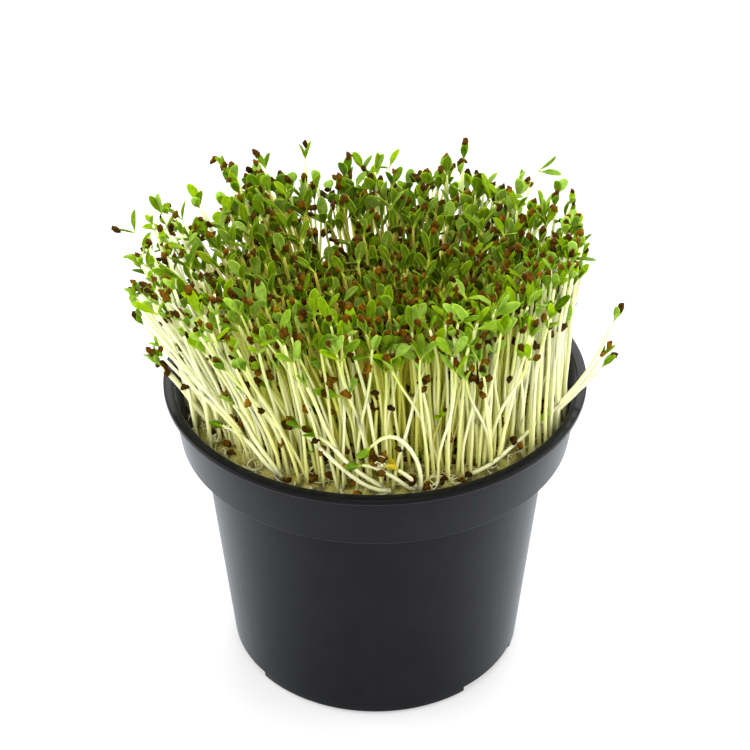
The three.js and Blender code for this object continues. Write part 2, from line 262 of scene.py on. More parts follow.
# Tall thin sprouts that stand out above the back of the stand: foot, tip and facing.
TALL = (
    ((-16.5, 36), (-17.5, 40, 118.2), 0.5),
    ((21.5, 35), (22.6, 38.6, 118.6), 1.4),
    ((-26.5, 32), (-27.6, 38.5, 116.3), 2.4),
)
TALL_OPENING = 0.16
TALL_LEAF = 5.0
TALL_GIRTH = 0.8

# Stems that lie down or arch over at the front of the mat: the four points they pass through, the
# way their leaves face and whether they have withered.
LYING = (
    (((21, -38.7, 76.9), (27, -36, 78.2), (32.5, -31.4, 79.2), (37.5, -25, 79.8)), 1.1, False),
    (((22.4, -37.6, 76.9), (28, -34.9, 78.4), (33.5, -29.9, 80), (38.4, -24, 82)), 2.0, False),
    (((10.4, -42.8, 76.2), (9.7, -43.2, 83.5), (5.8, -44, 91.6), (-1, -44.6, 90)), 0.6, False),
    (((3.5, -43.6, 76.6), (-4.5, -44.6, 80.4), (-11, -43.6, 87), (-17, -41.8, 93)), 1.7, False),
    (((2.4, -42.8, 76.6), (-4.2, -44, 83), (-9, -43.4, 88), (-13, -42.8, 91.5)), 0.9, False),
    (((9, -43, 76.6), (5, -44.2, 80), (1, -44.6, 83.4), (-3, -44.4, 84.6)), 0.2, False),
    (((-22.5, -37.6, 76.4), (-27.3, -35.6, 81.2), (-31.2, -32.4, 84), (-36, -26.6, 83)), 2.7, False),
    (((-22, -38, 76.4), (-26, -35.6, 82), (-29.6, -32.6, 87), (-33.2, -29.2, 91)), 0.3, False),
    (((9.6, -42.4, 76.4), (8.4, -43.4, 79.4), (6.8, -44, 81.6), (5.4, -44.2, 83)), 1.3, True),
)
LYING_OPENINGS = (0.2, 0.25)
LYING_LEAF = 4.2
LYING_GIRTH = 1.08

# Sprouts with larger leaves that stand out on the top and front of the stand: the tip, how far
# the left and the right leaf open, their length and how far the blades turn to the front.
LEADING = (
    ((-52.3, 18.2, 114.9), (0.05, 0.25), 6.0, 0.9),
    ((-34.2, 7.9, 111.5), (0.27, 0.30), 6.5, 0.8),
    ((-44.7, -14.4, 116.3), (0.81, -0.5), 7.8, 0.6),
    ((-41.3, -8.2, 114.4), (0.16, 0.1), 6.3, 0.9),
    ((-28.4, -33.9, 117.8), (0.21, 0.15), 6.6, 1.0),
    ((-16.9, -3.7, 110.4), (-0.05, 0.14), 7.6, 1.1),
    ((-14.5, -31.1, 115.9), (0.52, 0.39), 6.9, 0.9),
    ((-7.2, -43.5, 102.9), (0.96, 0.64), 7.2, 0.9),
    ((0.2, 43.0, 112.8), (-0.2, 0.4), 5.7, 0.8),
    ((5.6, 26.8, 109.1), (0.06, 0.33), 8.2, 1.0),
    ((13.2, 27.2, 109.4), (0.41, 0.45), 5.6, 0.8),
    ((29.7, 31.0, 110.9), (0.41, 1.5), 8.6, 0.7),
    ((41.7, 40.0, 114.6), (-0.5, 1.28), 6.1, 0.6),
    ((22.2, -38.9, 118.2), (0.57, 1.28), 8.8, 0.9),
    ((26.7, -32.1, 117.2), (-0.5, 0.95), 7.2, 0.8),
    ((10.7, -43.5, 112.4), (0.82, -0.03), 8.6, 1.0),
    ((17.2, -43.5, 114.0), (0.52, 0.44), 6.9, 0.9),
    ((30.1, -0.5, 111.0), (0.33, -0.1), 6.0, 0.9),
    ((44.8, -3.7, 114.1), (0.35, -0.1), 7.6, 0.9),
    ((8.3, -38.5, 117.2), (0.05, 0.1), 7.8, 1.1),
)
LEADING_SHIFTS = (0, 1.5, -1.5, 3, -3, 4.5, -4.5, 6)
LEADING_ARCH = 0.3
# Their high shade numbers paint the leading blades the pale blue-green that stands for a soft sheen.
LEADING_SHEEN_SHADES = (0.66, 0.22)
LEADING_BREADTH = 0.84
LEADING_BALL_SHARE = 0.6
VIEWPOINT = np.array((0, -439, 380.9))

# The shapes that are repeated: their sides and stations, and their sizes.
STEM_SIDES = 6
STEM_STATIONS = 10
STEM_TAPER = ((0, 0.1, 0.5, 0.93, 1), (1.25, 1.1, 1.0, 0.9, 0.72))
THIN_STEM = 0.41
STEM_WOBBLE = 0.34
LEAF_ROWS = (8, 8)
LEAF_CROWDING = 1.15
LEAF_THICKNESS = 0.55
COAT_ROWS = (9, 7)
COAT_SIZE = np.array((0.98, 1.38, 0.8))
COAT_SCALE = (0.78, 0.34)
COAT_TURN = 0.25
LOOK_SEED = 5151
BLANCHED_TINT = 1.6
BLANCHED_LEAF_TINT = 0.3
WITHERED_TINT = 2.0

# Seed coats beside those on the leaves: stuck to stems, among the leaves, fallen on the mat, and
# in clumps given by their middle and how many.
COAT_SEED = 3077
COAT_REACH = 52.4
STUCK_COATS = 400
STUCK_AT = (0.2, 0.78, 0.6)
STUCK_AWAY = 1.05
TOP_COATS = 340
TOP_AT = (0.15, 0.75)
TOP_AWAY = 1.1
LOOSE_COATS = 330
LOOSE_RADIUS = (0, 44.5, 0.36)
LOOSE_HEIGHT = 0.75
SMALL_COAT = 0.9
CLUMP_AWAY = (0.9, 1.5)
CLUMPS = (
    ((-9.0, -43.5, 107.5), 8),
    ((23.8, -37.5, 107.5), 9),
    ((-52.0, -12.0, 91.5), 5),
    ((0.6, -43.6, 86.6), 8),
    ((-33.0, -28.0, 84.5), 6),
    ((-18.0, -28.0, 92.0), 5),
    ((2.5, -33.0, 82.5), 7),
    ((-32.0, -22.0, 90.0), 5),
    ((12.0, -12.0, 106.0), 6),
    ((-14.0, 4.0, 107.0), 6),
    ((22.0, 6.0, 108.0), 6),
    ((-2.0, 24.0, 109.0), 6),
    ((30.0, 18.0, 106.0), 5),
    ((-28.0, 16.0, 107.0), 5),
)

# Root hairs on the mat, in tangles given by their middle and how many, and on the slope between
# the mat and the wall; and the crumbs of medium there.
ROOTLET_SEED = 8080
ROOTLET_SIDES = 4
ROOTLET_STATIONS = 8
ROOTLET_TAPER = ((0, 0.15, 0.8, 1), (0.6, 1, 0.85, 0.3))
FIBRES = 860
FIBRE_REACH = 45.5
TANGLES = (
    ((1.2, -44.2, 85.6), 10),
    ((-33.6, -28.4, 84.2), 9),
    ((-38.2, -22.6, 76.8), 6),
    ((13.5, -42.4, 78.2), 5),
)
FIBRE_GIRTH = 0.10
LOOSE_FIBRE_GIRTH = 0.14
GIRTH_SPREAD = 0.09
MAT_RADIUS = 44.2
APRON_FIBRES = 220
APRON_WIDTH = 2.6
APRON_REACH = 48.3
APRON_SLOPE = ((44, 45.5, 48.3), (75.6, 73.6, 72.3))
CRUMBS = 220
CRUMB_SEED = 6161
CRUMB_ROWS = (6, 5)
CRUMB_RADII = (44.9, 3.6)
CRUMB_SIZE = np.array((0.35, 0.35, 0.28))
CRUMB_SCALE = (0.7, 1.1)

# The studio: each light's name, place and size in metres, and power in watts.
LIGHTS = (
    ("key", (-0.3, -0.75, 1.25), 0.8, 2.5),
    ("front", (0.1, -1.3, 0.75), 1.0, 7.5),
    ("side_left", (-1.1, 0.05, 0.5), 0.9, 9.5),
    ("side_right", (1.1, 0.05, 0.5), 0.9, 8.8),
    ("top", (0.15, 0.35, 1.3), 0.9, 8.5),
    ("behind", (0.1, 1.1, 0.6), 0.9, 9.3),
)
LIGHTS_AIM = (0, 0, 0.08)
SKY_COLOUR = (0.98, 0.985, 0.99, 1)
SKY_STRENGTH = 1.25
FLOOR_SIZE = 3.0
CAMERA_ELEVATION = 34.49
CAMERA_ROLL = -0.18
CAMERA_DISTANCE = 0.53267
CAMERA_TARGET = (0, 0, 0.07933)
SENSOR_WIDTH = 36
FOCAL_LENGTH = 102.816


# ---------------------------------------------------------------- random draws


def make_random(seed):
    """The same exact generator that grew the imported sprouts."""
    state = seed

    def draw():
        nonlocal state
        state = (state * 48271) % 2147483647
        return state / 2147483647

    return draw


def between(random, low, high):
    return low + (high - low) * random()


def drawn(random, low, spread, power=1):
    """A number from low to low + spread; a power above 1 draws more of the low ones."""
    return low + spread * random() ** power


def on_circle(radius, turn):
    return radius * math.cos(turn), radius * math.sin(turn)


def any_turn(random):
    return 2 * math.pi * random()


def any_way(random):
    """A direction drawn evenly over the sphere."""
    height = 2 * random() - 1
    turn = any_turn(random)
    flat = math.sqrt(1 - height * height)
    return np.array((*on_circle(flat, turn), height))


def any_look(random):
    return random(), random(), random()


def ramp(value, low, high):
    """Rises straight from 0 at low to 1 at high."""
    return min(1.0, max(0.0, (value - low) / (high - low)))


# ---------------------------------------------------------------- shader nodes


def add(tree, kind, inputs, **settings):
    """One shader node: settings are its properties, inputs its sockets, linked or set."""
    node = tree.nodes.new(kind)
    for key, value in settings.items():
        setattr(node, key, value)
    for key, value in inputs.items():
        if isinstance(value, bpy.types.NodeSocket):
            tree.links.new(value, node.inputs[key])
        else:
            node.inputs[key].default_value = value
    return node


def worked(tree, operation, *values):
    return add(tree, "ShaderNodeMath", dict(enumerate(values)), operation=operation).outputs[0]


def product(tree, first, second):
    return worked(tree, "MULTIPLY", first, second)


def ranged(tree, value, low, high, to_low=0.0, to_high=1.0):
    """The value's smooth way from low to high, as a number from to_low to to_high."""
    span = {"From Min": low, "From Max": high, "To Min": to_low, "To Max": to_high}
    settings = {"interpolation_type": "SMOOTHSTEP"}
    node = add(tree, "ShaderNodeMapRange", {"Value": value, **span}, **settings)
    return node.outputs["Result"]


def blend_colours(tree, factor, first, second, mode="MIX"):
    sockets = {"Factor": factor, 6: first, 7: second}
    return add(tree, "ShaderNodeMix", sockets, data_type="RGBA", blend_type=mode).outputs[2]


def blend_values(tree, factor, first, second):
    sockets = {"Factor": factor, 2: first, 3: second}
    return add(tree, "ShaderNodeMix", sockets, data_type="FLOAT").outputs[0]


def layered(tree, base, *layers):
    """The base colour under layers, each a mask and a colour."""
    for mask, colour in layers:
        base = blend_colours(tree, mask, base, colour)
    return base


def clouds(tree, vector, scale, detail, roughness=0.5):
    sockets = {"Vector": vector, "Scale": scale, "Detail": detail, "Roughness": roughness}
    return add(tree, "ShaderNodeTexNoise", sockets).outputs["Fac"]


def stretched(tree, vector, scale):
    """The coordinates scaled unevenly, for streaks and fibres."""
    return add(tree, "ShaderNodeMapping", {"Vector": vector, "Scale": scale}).outputs["Vector"]


def split(tree, vector):
    return add(tree, "ShaderNodeSeparateXYZ", {"Vector": vector}).outputs


def carried(tree, name):
    """The vector that each vertex of a piece carries under that name, and its three numbers."""
    vector = add(tree, "ShaderNodeAttribute", {}, attribute_name=name).outputs["Vector"]
    return vector, *split(tree, vector)


# ---------------------------------------------------------------- shared effects


def effect(name, sockets_in, socket_out, build):
    """A shader node group with named inputs and one output, shared by several materials."""
    tree = bpy.data.node_groups.new(name, "ShaderNodeTree")
    for label, kind, value in (("Vector", "NodeSocketVector", (0, 0, 0)), *sockets_in):
        socket = tree.interface.new_socket(label, in_out="INPUT", socket_type=kind)
        socket.default_value = value
    label, kind = socket_out
    tree.interface.new_socket(label, in_out="OUTPUT", socket_type=kind)
    source = tree.nodes.new("NodeGroupInput")
    sink = tree.nodes.new("NodeGroupOutput")
    tree.links.new(build(tree, source.outputs), sink.inputs[label])
    return tree


def build_mottle(tree, given):
    """Cloudy change from one colour to another."""
    cloud = clouds(tree, given["Vector"], given["Scale"], 5.0, 0.6)
    mask = ranged(tree, cloud, given["Low"], given["High"])
    return blend_colours(tree, mask, given["First"], given["Second"])


def build_specks(tree, given):
    """Small scattered spots: white on black, of uneven size."""
    sockets = {"Vector": given["Vector"], "Scale": given["Scale"]}
    cells = add(tree, "ShaderNodeTexVoronoi", sockets, feature="F1").outputs
    chance = add(tree, "ShaderNodeSeparateColor", {"Color": cells["Color"]}).outputs["Red"]
    picked = worked(tree, "LESS_THAN", chance, given["Share"])
    return product(tree, picked, ranged(tree, cells["Distance"], given["Size"], 0.0))


def build_grain(tree, given):
    """Two sizes of fine unevenness as a height."""
    fine = clouds(tree, given["Vector"], given["Scale"], 3.0, 0.65)
    coarse = clouds(tree, given["Vector"], product(tree, given["Scale"], 0.22), 2.0)
    return blend_values(tree, given["Coarse"], fine, coarse)


mottle = effect(
    "mottle",
    (
        ("Scale", "NodeSocketFloat", 100.0),
        ("Low", "NodeSocketFloat", 0.35),
        ("High", "NodeSocketFloat", 0.65),
        ("First", "NodeSocketColor", (0, 0, 0, 1)),
        ("Second", "NodeSocketColor", (1, 1, 1, 1)),
    ),
    ("Color", "NodeSocketColor"),
    build_mottle,
)
specks = effect(
    "specks",
    (
        ("Scale", "NodeSocketFloat", 200.0),
        ("Share", "NodeSocketFloat", 0.1),
        ("Size", "NodeSocketFloat", 0.2),
    ),
    ("Mask", "NodeSocketFloat"),
    build_specks,
)
grain = effect(
    "grain",
    (("Scale", "NodeSocketFloat", 1000.0), ("Coarse", "NodeSocketFloat", 0.4)),
    ("Height", "NodeSocketFloat"),
    build_grain,
)


def use(tree, group, vector, **values):
    """A shared effect placed in a material with its own values."""
    sockets = {"Vector": vector, **{name.title(): value for name, value in values.items()}}
    return add(tree, "ShaderNodeGroup", sockets, node_tree=group).outputs[0]


def mottled(tree, vector, scale, first, second, **values):
    return use(tree, mottle, vector, scale=scale, first=first, second=second, **values)


# ---------------------------------------------------------------- materials


def material(name, build):
    """A material round its Principled BSDF.

    build gives the colour, the roughness, the height, strength and depth of the bump, and plain
    values for other sockets.
    """
    made = bpy.data.materials.new(name)
    made.use_nodes = True
    tree = made.node_tree
    shader = tree.nodes["Principled BSDF"]
    place = add(tree, "ShaderNodeTexCoord", {}).outputs["Object"]
    colour, roughness, (height, strength, depth), plain = build(tree, place)
    tree.links.new(colour, shader.inputs["Base Color"])
    tree.links.new(roughness, shader.inputs["Roughness"])
    sockets = {"Height": height, "Strength": strength, "Distance": depth}
    bump = add(tree, "ShaderNodeBump", sockets)
    tree.links.new(bump.outputs["Normal"], shader.inputs["Normal"])
    for socket, value in plain.items():
        shader.inputs[socket].default_value = value
    return made


def roughness_by(tree, height, low, high):
    """Roughness that follows the grain, from low in its hollows to high on its tops."""
    return ranged(tree, height, 0.3, 0.7, low, high)


def build_pot_plastic(tree, place):
    """Satin black polypropylene: fine grain, faint streaks up the wall, dust, and a glossier lip
    whose darker colour is painted shade.
    """
    black = mottled(tree, place, 90.0, (0.0028, 0.0029, 0.0040, 1), (0.0042, 0.0044, 0.0060, 1))
    streaks = use(tree, grain, stretched(tree, place, (1, 1, 0.06)), scale=420.0, coarse=0.5)
    dust = use(tree, specks, place, scale=330.0, share=0.035, size=0.13)
    lip_bottom = POT_HEIGHT - LIP_HEIGHT
    # Painted shade: the lip is painted a darker black than the wall, for the shade of its curled
    # edge; its lower roughness is its own gloss.
    glossy_lip_and_painted_shade = ranged(tree, split(tree, place)["Z"], (lip_bottom - 0.1) * MM, (lip_bottom + 0.1) * MM)
    base = layered(
        tree,
        black,
        (ranged(tree, streaks, 0.52, 0.8, 0.0, 0.06), (0.012, 0.012, 0.014, 1)),
        (product(tree, dust, 0.3), (0.03, 0.03, 0.03, 1)),
        # painted shade: the darker black of the lip
        (product(tree, glossy_lip_and_painted_shade, 0.8), (0.0022, 0.0022, 0.0026, 1)),
    )
    roughness = blend_values(tree, glossy_lip_and_painted_shade, roughness_by(tree, streaks, 0.40, 0.43), 0.2)
    height = use(tree, grain, place, scale=2600.0, coarse=0.45)
    sheen = {"Sheen Weight": 0.26, "Sheen Roughness": 0.3, "Sheen Tint": (0.85, 0.93, 1, 1)}
    return base, roughness, (height, 0.14, 0.00012), {"Specular IOR Level": 0.075, **sheen}


def build_growing_medium(tree, place):
    """Damp peat: near-black crumbs with brown fibres and a few pale grains."""
    peat = mottled(tree, place, 520.0, (0.006, 0.004, 0.0015, 1), (0.050, 0.036, 0.012, 1))
    pale = use(tree, specks, place, scale=640.0, share=0.12, size=0.42)
    base = blend_colours(tree, product(tree, pale, 0.5), peat, (0.24, 0.20, 0.08, 1))
    height = use(tree, grain, place, scale=1500.0, coarse=0.6)
    return base, roughness_by(tree, height, 0.7, 0.95), (height, 0.8, 0.0006), {}


def build_root_mat(tree, place):
    """A felt of fine cream roots, olive where it is deep, with brown husk in it."""
    felt = mottled(tree, place, 330.0, (0.068, 0.055, 0.003, 1), (0.38, 0.345, 0.052, 1))
    fibre = use(tree, grain, stretched(tree, place, (1.0, 0.22, 1.0)), scale=1900.0, coarse=0.35)
    husk = use(tree, specks, place, scale=420.0, share=0.22, size=0.34)
    base = layered(
        tree,
        felt,
        (ranged(tree, fibre, 0.52, 0.66, 0.0, 0.7), (0.60, 0.58, 0.20, 1)),
        (product(tree, husk, 0.85), (0.10, 0.045, 0.012, 1)),
    )
    return base, roughness_by(tree, fibre, 0.65, 0.9), (fibre, 0.7, 0.0005), {}


def build_stems(tree, place):
    """Blanched stems: cream below, pale green under the leaves, finely ribbed along their length,
    with painted shade deep in the stand and at the feet, and painted light near the rim and at the
    sides.
    """
    on_stem, along, _, _ = carried(tree, "place_on_stem")
    _, tint, shade, depth = carried(tree, "growth")
    ribs = clouds(tree, stretched(tree, on_stem, (2.0, 5.0, 0.0)), 2.5, 3.0)
    # Painted shade: stems deeper in the stand are painted a saturated yellow low down and a dark
    # olive under the leaves, for the light that the canopy filters and holds back.
    deep = ranged(tree, depth, 0.0, 0.48)
    low = layered(
        tree,
        (0.61, 0.62, 0.21, 1),
        (tint, (0.695, 0.705, 0.405, 1)),
        # painted shade deep in the stand, low on the stem
        (product(tree, deep, 0.85), (0.79, 0.785, 0.038, 1)),
    )
    high = layered(
        tree,
        (0.41, 0.51, 0.055, 1),
        (shade, (0.61, 0.69, 0.24, 1)),
        # painted shade deep in the stand, under the leaves
        (product(tree, deep, 0.9), (0.21, 0.17, 0.0008, 1)),
    )
    # Painted light, partly real: the pale ribbing is the stems' own grain, but it shows only near
    # the rim, where it stands for the light those stems catch.
    painted_rim_light = ranged(tree, depth, 0.3, 0.0)
    ribs_and_painted_rim_light = product(tree, ranged(tree, ribs, 0.42, 0.72, 0.0, 0.35), painted_rim_light)
    # Painted light: stems far to the left and right are painted paler, for the light from the sides.
    painted_side_light_x = worked(tree, "ABSOLUTE", split(tree, place)["X"])
    blanched = product(tree, ranged(tree, tint, 1.2, 1.5, 0.0, 0.9), ranged(tree, along, 0.9, 0.5))
    base = layered(
        tree,
        low,
        (ranged(tree, along, 0.55, 0.97), high),
        # painted shade: a more saturated yellow towards the foot, for the shade near the mat
        (ranged(tree, along, 0.55, 0.05, 0.0, 0.6), (0.70, 0.68, 0.10, 1)),
        # painted light on the ribbing of stems near the rim
        (ribs_and_painted_rim_light, (0.81, 0.81, 0.62, 1)),
        # painted light on stems far to the sides
        (ranged(tree, painted_side_light_x, 0.031, 0.049, 0.0, 0.45), (0.77, 0.78, 0.51, 1)),
        (blanched, (0.80, 0.80, 0.40, 1)),
    )
    height = use(tree, grain, place, scale=2400.0, coarse=0.4)
    translucent = {
        "Specular IOR Level": 0.1,
        "Subsurface Weight": 0.9,
        "Subsurface Radius": (1.0, 1.0, 1.0),
        "Subsurface Scale": 0.0024,
    }
    return base, roughness_by(tree, ribs, 0.34, 0.5), (height, 0.15, 0.0001), translucent


def build_leaves(tree, place):
    """Cotyledons: yellow-green to blue-green blades, paler at the stalk, midrib and underside, with
    the palest blue-green standing for a painted sheen and painted shade deep in the stand.
    """
    _, across, along, face = carried(tree, "place_on_leaf")
    _, tint, shade, depth = carried(tree, "growth")
    yellowish = ranged(tree, tint, 0.15, 0.85)
    bright = blend_colours(tree, yellowish, (0.062, 0.132, 0.0001, 1), (0.225, 0.36, 0.001, 1))
    # Partly real, partly painted highlight: blue-green is the blades' own colour and the
    # undersides', but its palest end, on blades with a high shade number, stands for a soft sheen.
    blue_green_and_sheen = blend_colours(tree, shade, (0.060, 0.138, 0.0003, 1), (0.29, 0.44, 0.08, 1))
    under = ranged(tree, face, 0.3, -0.3, 0.0, 0.3)
    blue_green_and_sheen_mask = blend_values(tree, ranged(tree, shade, 0.66, 0.9, 0.0, 0.85), under, 1.0)
    # Painted shade: blades deeper in the stand are painted a darker olive.
    deep = product(tree, depth, 0.88)
    green = layered(tree, bright, (blue_green_and_sheen_mask, blue_green_and_sheen), (deep, (0.042, 0.064, 0.0001, 1)))
    dark, light = (0.74, 0.78, 0.4, 1), (1.2, 1.16, 1.2, 1)
    patches = mottled(tree, place, 700.0, dark, light, low=0.3, high=0.72)
    rib = worked(tree, "ABSOLUTE", across)
    midrib = product(tree, ranged(tree, rib, 0.22, 0.02, 0.0, 0.45), ranged(tree, along, 0.95, 0.3))
    base = layered(
        tree,
        blend_colours(tree, 1.0, green, patches, "MULTIPLY"),
        (midrib, (0.27, 0.38, 0.03, 1)),
        (ranged(tree, along, 0.34, 0.04, 0.0, 0.9), (0.40, 0.50, 0.04, 1)),
        (ranged(tree, rib, 0.78, 1.0, 0.0, 0.3), (0.25, 0.37, 0.02, 1)),
        (ranged(tree, tint, 1.3, 1.6, 0.0, 0.9), (0.50, 0.36, 0.02, 1)),
    )
    height = use(tree, grain, place, scale=2100.0, coarse=0.5)
    translucent = {
        "Specular IOR Level": 0.022,
        "Subsurface Weight": 0.4,
        "Subsurface Radius": (0.7, 1.0, 0.15),
        "Subsurface Scale": 0.0009,
    }
    return base, roughness_by(tree, height, 0.38, 0.52), (height, 0.22, 0.00015), translucent


def build_seed_coats(tree, place):
    """Papery husks: dark to orange brown, wrinkled, with a darker scar."""
    _, _, along, _ = carried(tree, "place_on_coat")
    _, tint, shade, _ = carried(tree, "growth")
    dark = blend_colours(tree, shade, (0.024, 0.0105, 0.0002, 1), (0.068, 0.030, 0.0004, 1))
    warm = blend_colours(tree, shade, (0.090, 0.040, 0.0006, 1), (0.16, 0.073, 0.002, 1))
    brown = blend_colours(tree, ranged(tree, tint, 0.3, 1.0), dark, warm)
    patches = mottled(tree, place, 900.0, (0.55, 0.5, 0.5, 1), (1.5, 1.45, 1.4, 1))
    brown = blend_colours(tree, 1.0, brown, patches, "MULTIPLY")
    scar = ranged(tree, along, 0.25, 0.0, 0.0, 0.6)
    base = blend_colours(tree, scar, brown, (0.012, 0.005, 0.001, 1))
    height = use(tree, grain, place, scale=1300.0, coarse=0.55)
    roughness = roughness_by(tree, height, 0.42, 0.62)
    return base, roughness, (height, 0.6, 0.00035), {"Specular IOR Level": 0.03}


def build_rootlets(tree, place):
    """Curly white root hairs, cream to straw."""
    base = mottled(tree, place, 340.0, (0.50, 0.46, 0.15, 1), (0.82, 0.80, 0.50, 1))
    height = use(tree, grain, place, scale=2600.0, coarse=0.4)
    return base, roughness_by(tree, height, 0.5, 0.7), (height, 0.3, 0.0001), {}


def build_studio_floor(tree, place):
    """Seamless white card with the faintest cloud in it."""
    base = mottled(tree, place, 3.0, (0.44, 0.44, 0.44, 1), (0.46, 0.46, 0.46, 1))
    height = use(tree, grain, place, scale=600.0)
    glow = {"Emission Color": (1, 1, 1, 1), "Emission Strength": 0.345}
    return base, roughness_by(tree, height, 0.75, 0.85), (height, 0.02, 0.0001), glow


pot_plastic = material("pot_plastic", build_pot_plastic)
growing_medium = material("growing_medium", build_growing_medium)
root_mat = material("root_mat", build_root_mat)
stems_finish = material("stems", build_stems)
leaves_finish = material("leaves", build_leaves)
coats_finish = material("seed_coats", build_seed_coats)
rootlets_finish = material("rootlets", build_rootlets)
studio_floor = material("studio_floor", build_studio_floor)


# ---------------------------------------------------------------- turned pieces


def new_object(name, mesh, finish):
    piece = bpy.data.objects.new(name, mesh)
    bpy.context.scene.collection.objects.link(piece)
    mesh.materials.clear()
    mesh.materials.append(finish)
    mesh.shade_smooth()
    return piece


def dress(piece, nodes):
    """The piece rides with the part and stands for the nodes."""
    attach(piece, "root")
    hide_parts(*nodes)


def mesh_from(name, bm):
    mesh = bpy.data.meshes.new(name)
    bm.to_mesh(mesh)
    bm.free()
    return mesh


def spun(bm, geom, angle, steps, merge):
    """Spins the geometry round the upright axis."""
    bmesh.ops.spin(
        bm,
        geom=geom,
        cent=(0, 0, 0),
        axis=(0, 0, 1),
        dvec=(0, 0, 0),
        angle=angle,
        steps=steps,
        use_merge=merge,
    )


def turned(profile, steps, rounding=0.0):
    """A closed body spun from a profile that starts and ends on the axis."""
    bm = bmesh.new()
    corners = [bm.verts.new((radius * MM, 0, height * MM)) for radius, height in profile]
    for pair in zip(corners, corners[1:]):
        bm.edges.new(pair)
    spun(bm, bm.verts[:] + bm.edges[:], 2 * math.pi, steps, True)
    bmesh.ops.remove_doubles(bm, verts=bm.verts, dist=0.001 * MM)
    bmesh.ops.recalc_face_normals(bm, faces=bm.faces)
    if rounding:
        bmesh.ops.bevel(
            bm,
            geom=[edge for edge in bm.edges if is_turned_corner(edge)],
            offset=rounding * MM,
            offset_type="OFFSET",
            affect="EDGES",
            segments=3,
            profile=0.5,
            material=-1,
            clamp_overlap=True,
        )
    return bm


def is_turned_corner(edge):
    """An edge that runs round the axis where the profile turns by more than 20 degrees."""
    first, second = (v.co for v in edge.verts)
    level = abs(first.z - second.z) < 1e-6
    return level and first.xy.length > 1e-4 and edge.calc_face_angle(0) > math.radians(20)


def sector(inner, outer, centre, width, bottom, top):
    """A block between two radii, round an angle in degrees."""
    bm = bmesh.new()
    start = math.radians(centre - width / 2)
    corners = [(inner, bottom), (outer, bottom), (outer, top), (inner, top)]
    ring = [bm.verts.new((*on_circle(r * MM, start), z * MM)) for r, z in corners]
    face = bm.faces.new(ring)
    spun(bm, [face, *face.edges, *face.verts], math.radians(width), 12, False)
    bmesh.ops.remove_doubles(bm, verts=bm.verts, dist=0.0001 * MM)
    bmesh.ops.recalc_face_normals(bm, faces=bm.faces)
    return bm


def combined(body, block, operation):
    """The body after an exact boolean with the block, as a new mesh."""
    pair = [bpy.data.objects.new(mesh.name, mesh) for mesh in (body, mesh_from("block", block))]
    for item in pair:
        bpy.context.scene.collection.objects.link(item)
    cut = pair[0].modifiers.new("cut", "BOOLEAN")
    cut.object = pair[1]
    cut.operation = operation
    cut.solver = "EXACT"
    view = bpy.context.evaluated_depsgraph_get()
    result = bpy.data.meshes.new_from_object(pair[0].evaluated_get(view))
    for item in pair:
        mesh = item.data
        bpy.data.objects.remove(item)
        bpy.data.meshes.remove(mesh)
    return result


def wall_radius(height):
    """The radius of the tapering wall's outside at a height below the shoulder."""
    share = (height - 1) / (SHOULDER_HEIGHT - 1)
    return BASE_RADIUS + (SHOULDER_RADIUS - BASE_RADIUS) * share


def pot():
    roof = CHANNEL_HEIGHT + WALL
    profile = (
        (0, 0),
        (BASE_RADIUS - 1, 0),
        (BASE_RADIUS, 1),
        (wall_radius(roof), roof),
        (SHOULDER_RADIUS, SHOULDER_HEIGHT),
        (COLLAR_BOTTOM_RADIUS, SHOULDER_HEIGHT),
        (COLLAR_TOP_RADIUS, POT_HEIGHT - LIP_HEIGHT),
        (RIM_RADIUS, POT_HEIGHT - LIP_HEIGHT),
        (RIM_RADIUS, POT_HEIGHT),
        (COLLAR_TOP_RADIUS - WALL, POT_HEIGHT),
        (COLLAR_BOTTOM_RADIUS - WALL, SHOULDER_HEIGHT + WALL),
        (SHOULDER_RADIUS - WALL, SHOULDER_HEIGHT + WALL),
        (wall_radius(2 * roof) - WALL, 2 * roof),
        (BASE_RADIUS - WALL, FLOOR),
        (0, FLOOR),
    )
    body = mesh_from("shell", turned(profile, POT_STEPS, ROUNDING))
    inner, outer = CHANNEL_INNER - WALL, BASE_RADIUS - WALL / 2
    for angle in CHANNEL_ANGLES:
        raised = sector(inner, outer, angle, CHANNEL_WIDTH + ROOF_MARGIN, FLOOR / 2, roof)
        body = combined(body, raised, "UNION")
    for angle in CHANNEL_ANGLES:
        channel = sector(CHANNEL_INNER, RIM_RADIUS, angle, CHANNEL_WIDTH, -1, CHANNEL_HEIGHT)
        body = combined(body, channel, "DIFFERENCE")
        body = combined(body, sector(*SLOT[:2], angle, SLOT[2], 0, roof + 1), "DIFFERENCE")
    for angle in RELIEF_ANGLES:
        relief = sector(CHANNEL_INNER, RIM_RADIUS, angle, RELIEF_WIDTH, -1, RELIEF_HEIGHT)
        body = combined(body, relief, "DIFFERENCE")
    piece = new_object("pot_shell", body, pot_plastic)
    body.set_sharp_from_angle(angle=math.radians(35))
    dress(piece, ["pot"])


def roughened(bm, amount, size, chosen):
    """Moves the chosen vertices by fractal noise, mostly upwards and outwards."""
    for vertex in bm.verts:
        if chosen(vertex.co):
            where = vertex.co / (size * MM)
            lift = noise.fractal(where, 0.7, 2.1, 4)
            push = noise.fractal(where + Vector((9.1, 3.3, 5.7)), 0.7, 2.1, 3)
            flat = Vector((vertex.co.x, vertex.co.y, 0)).normalized()
            vertex.co += Vector((0, 0, lift * amount * MM)) + flat * (push * amount * 0.6 * MM)


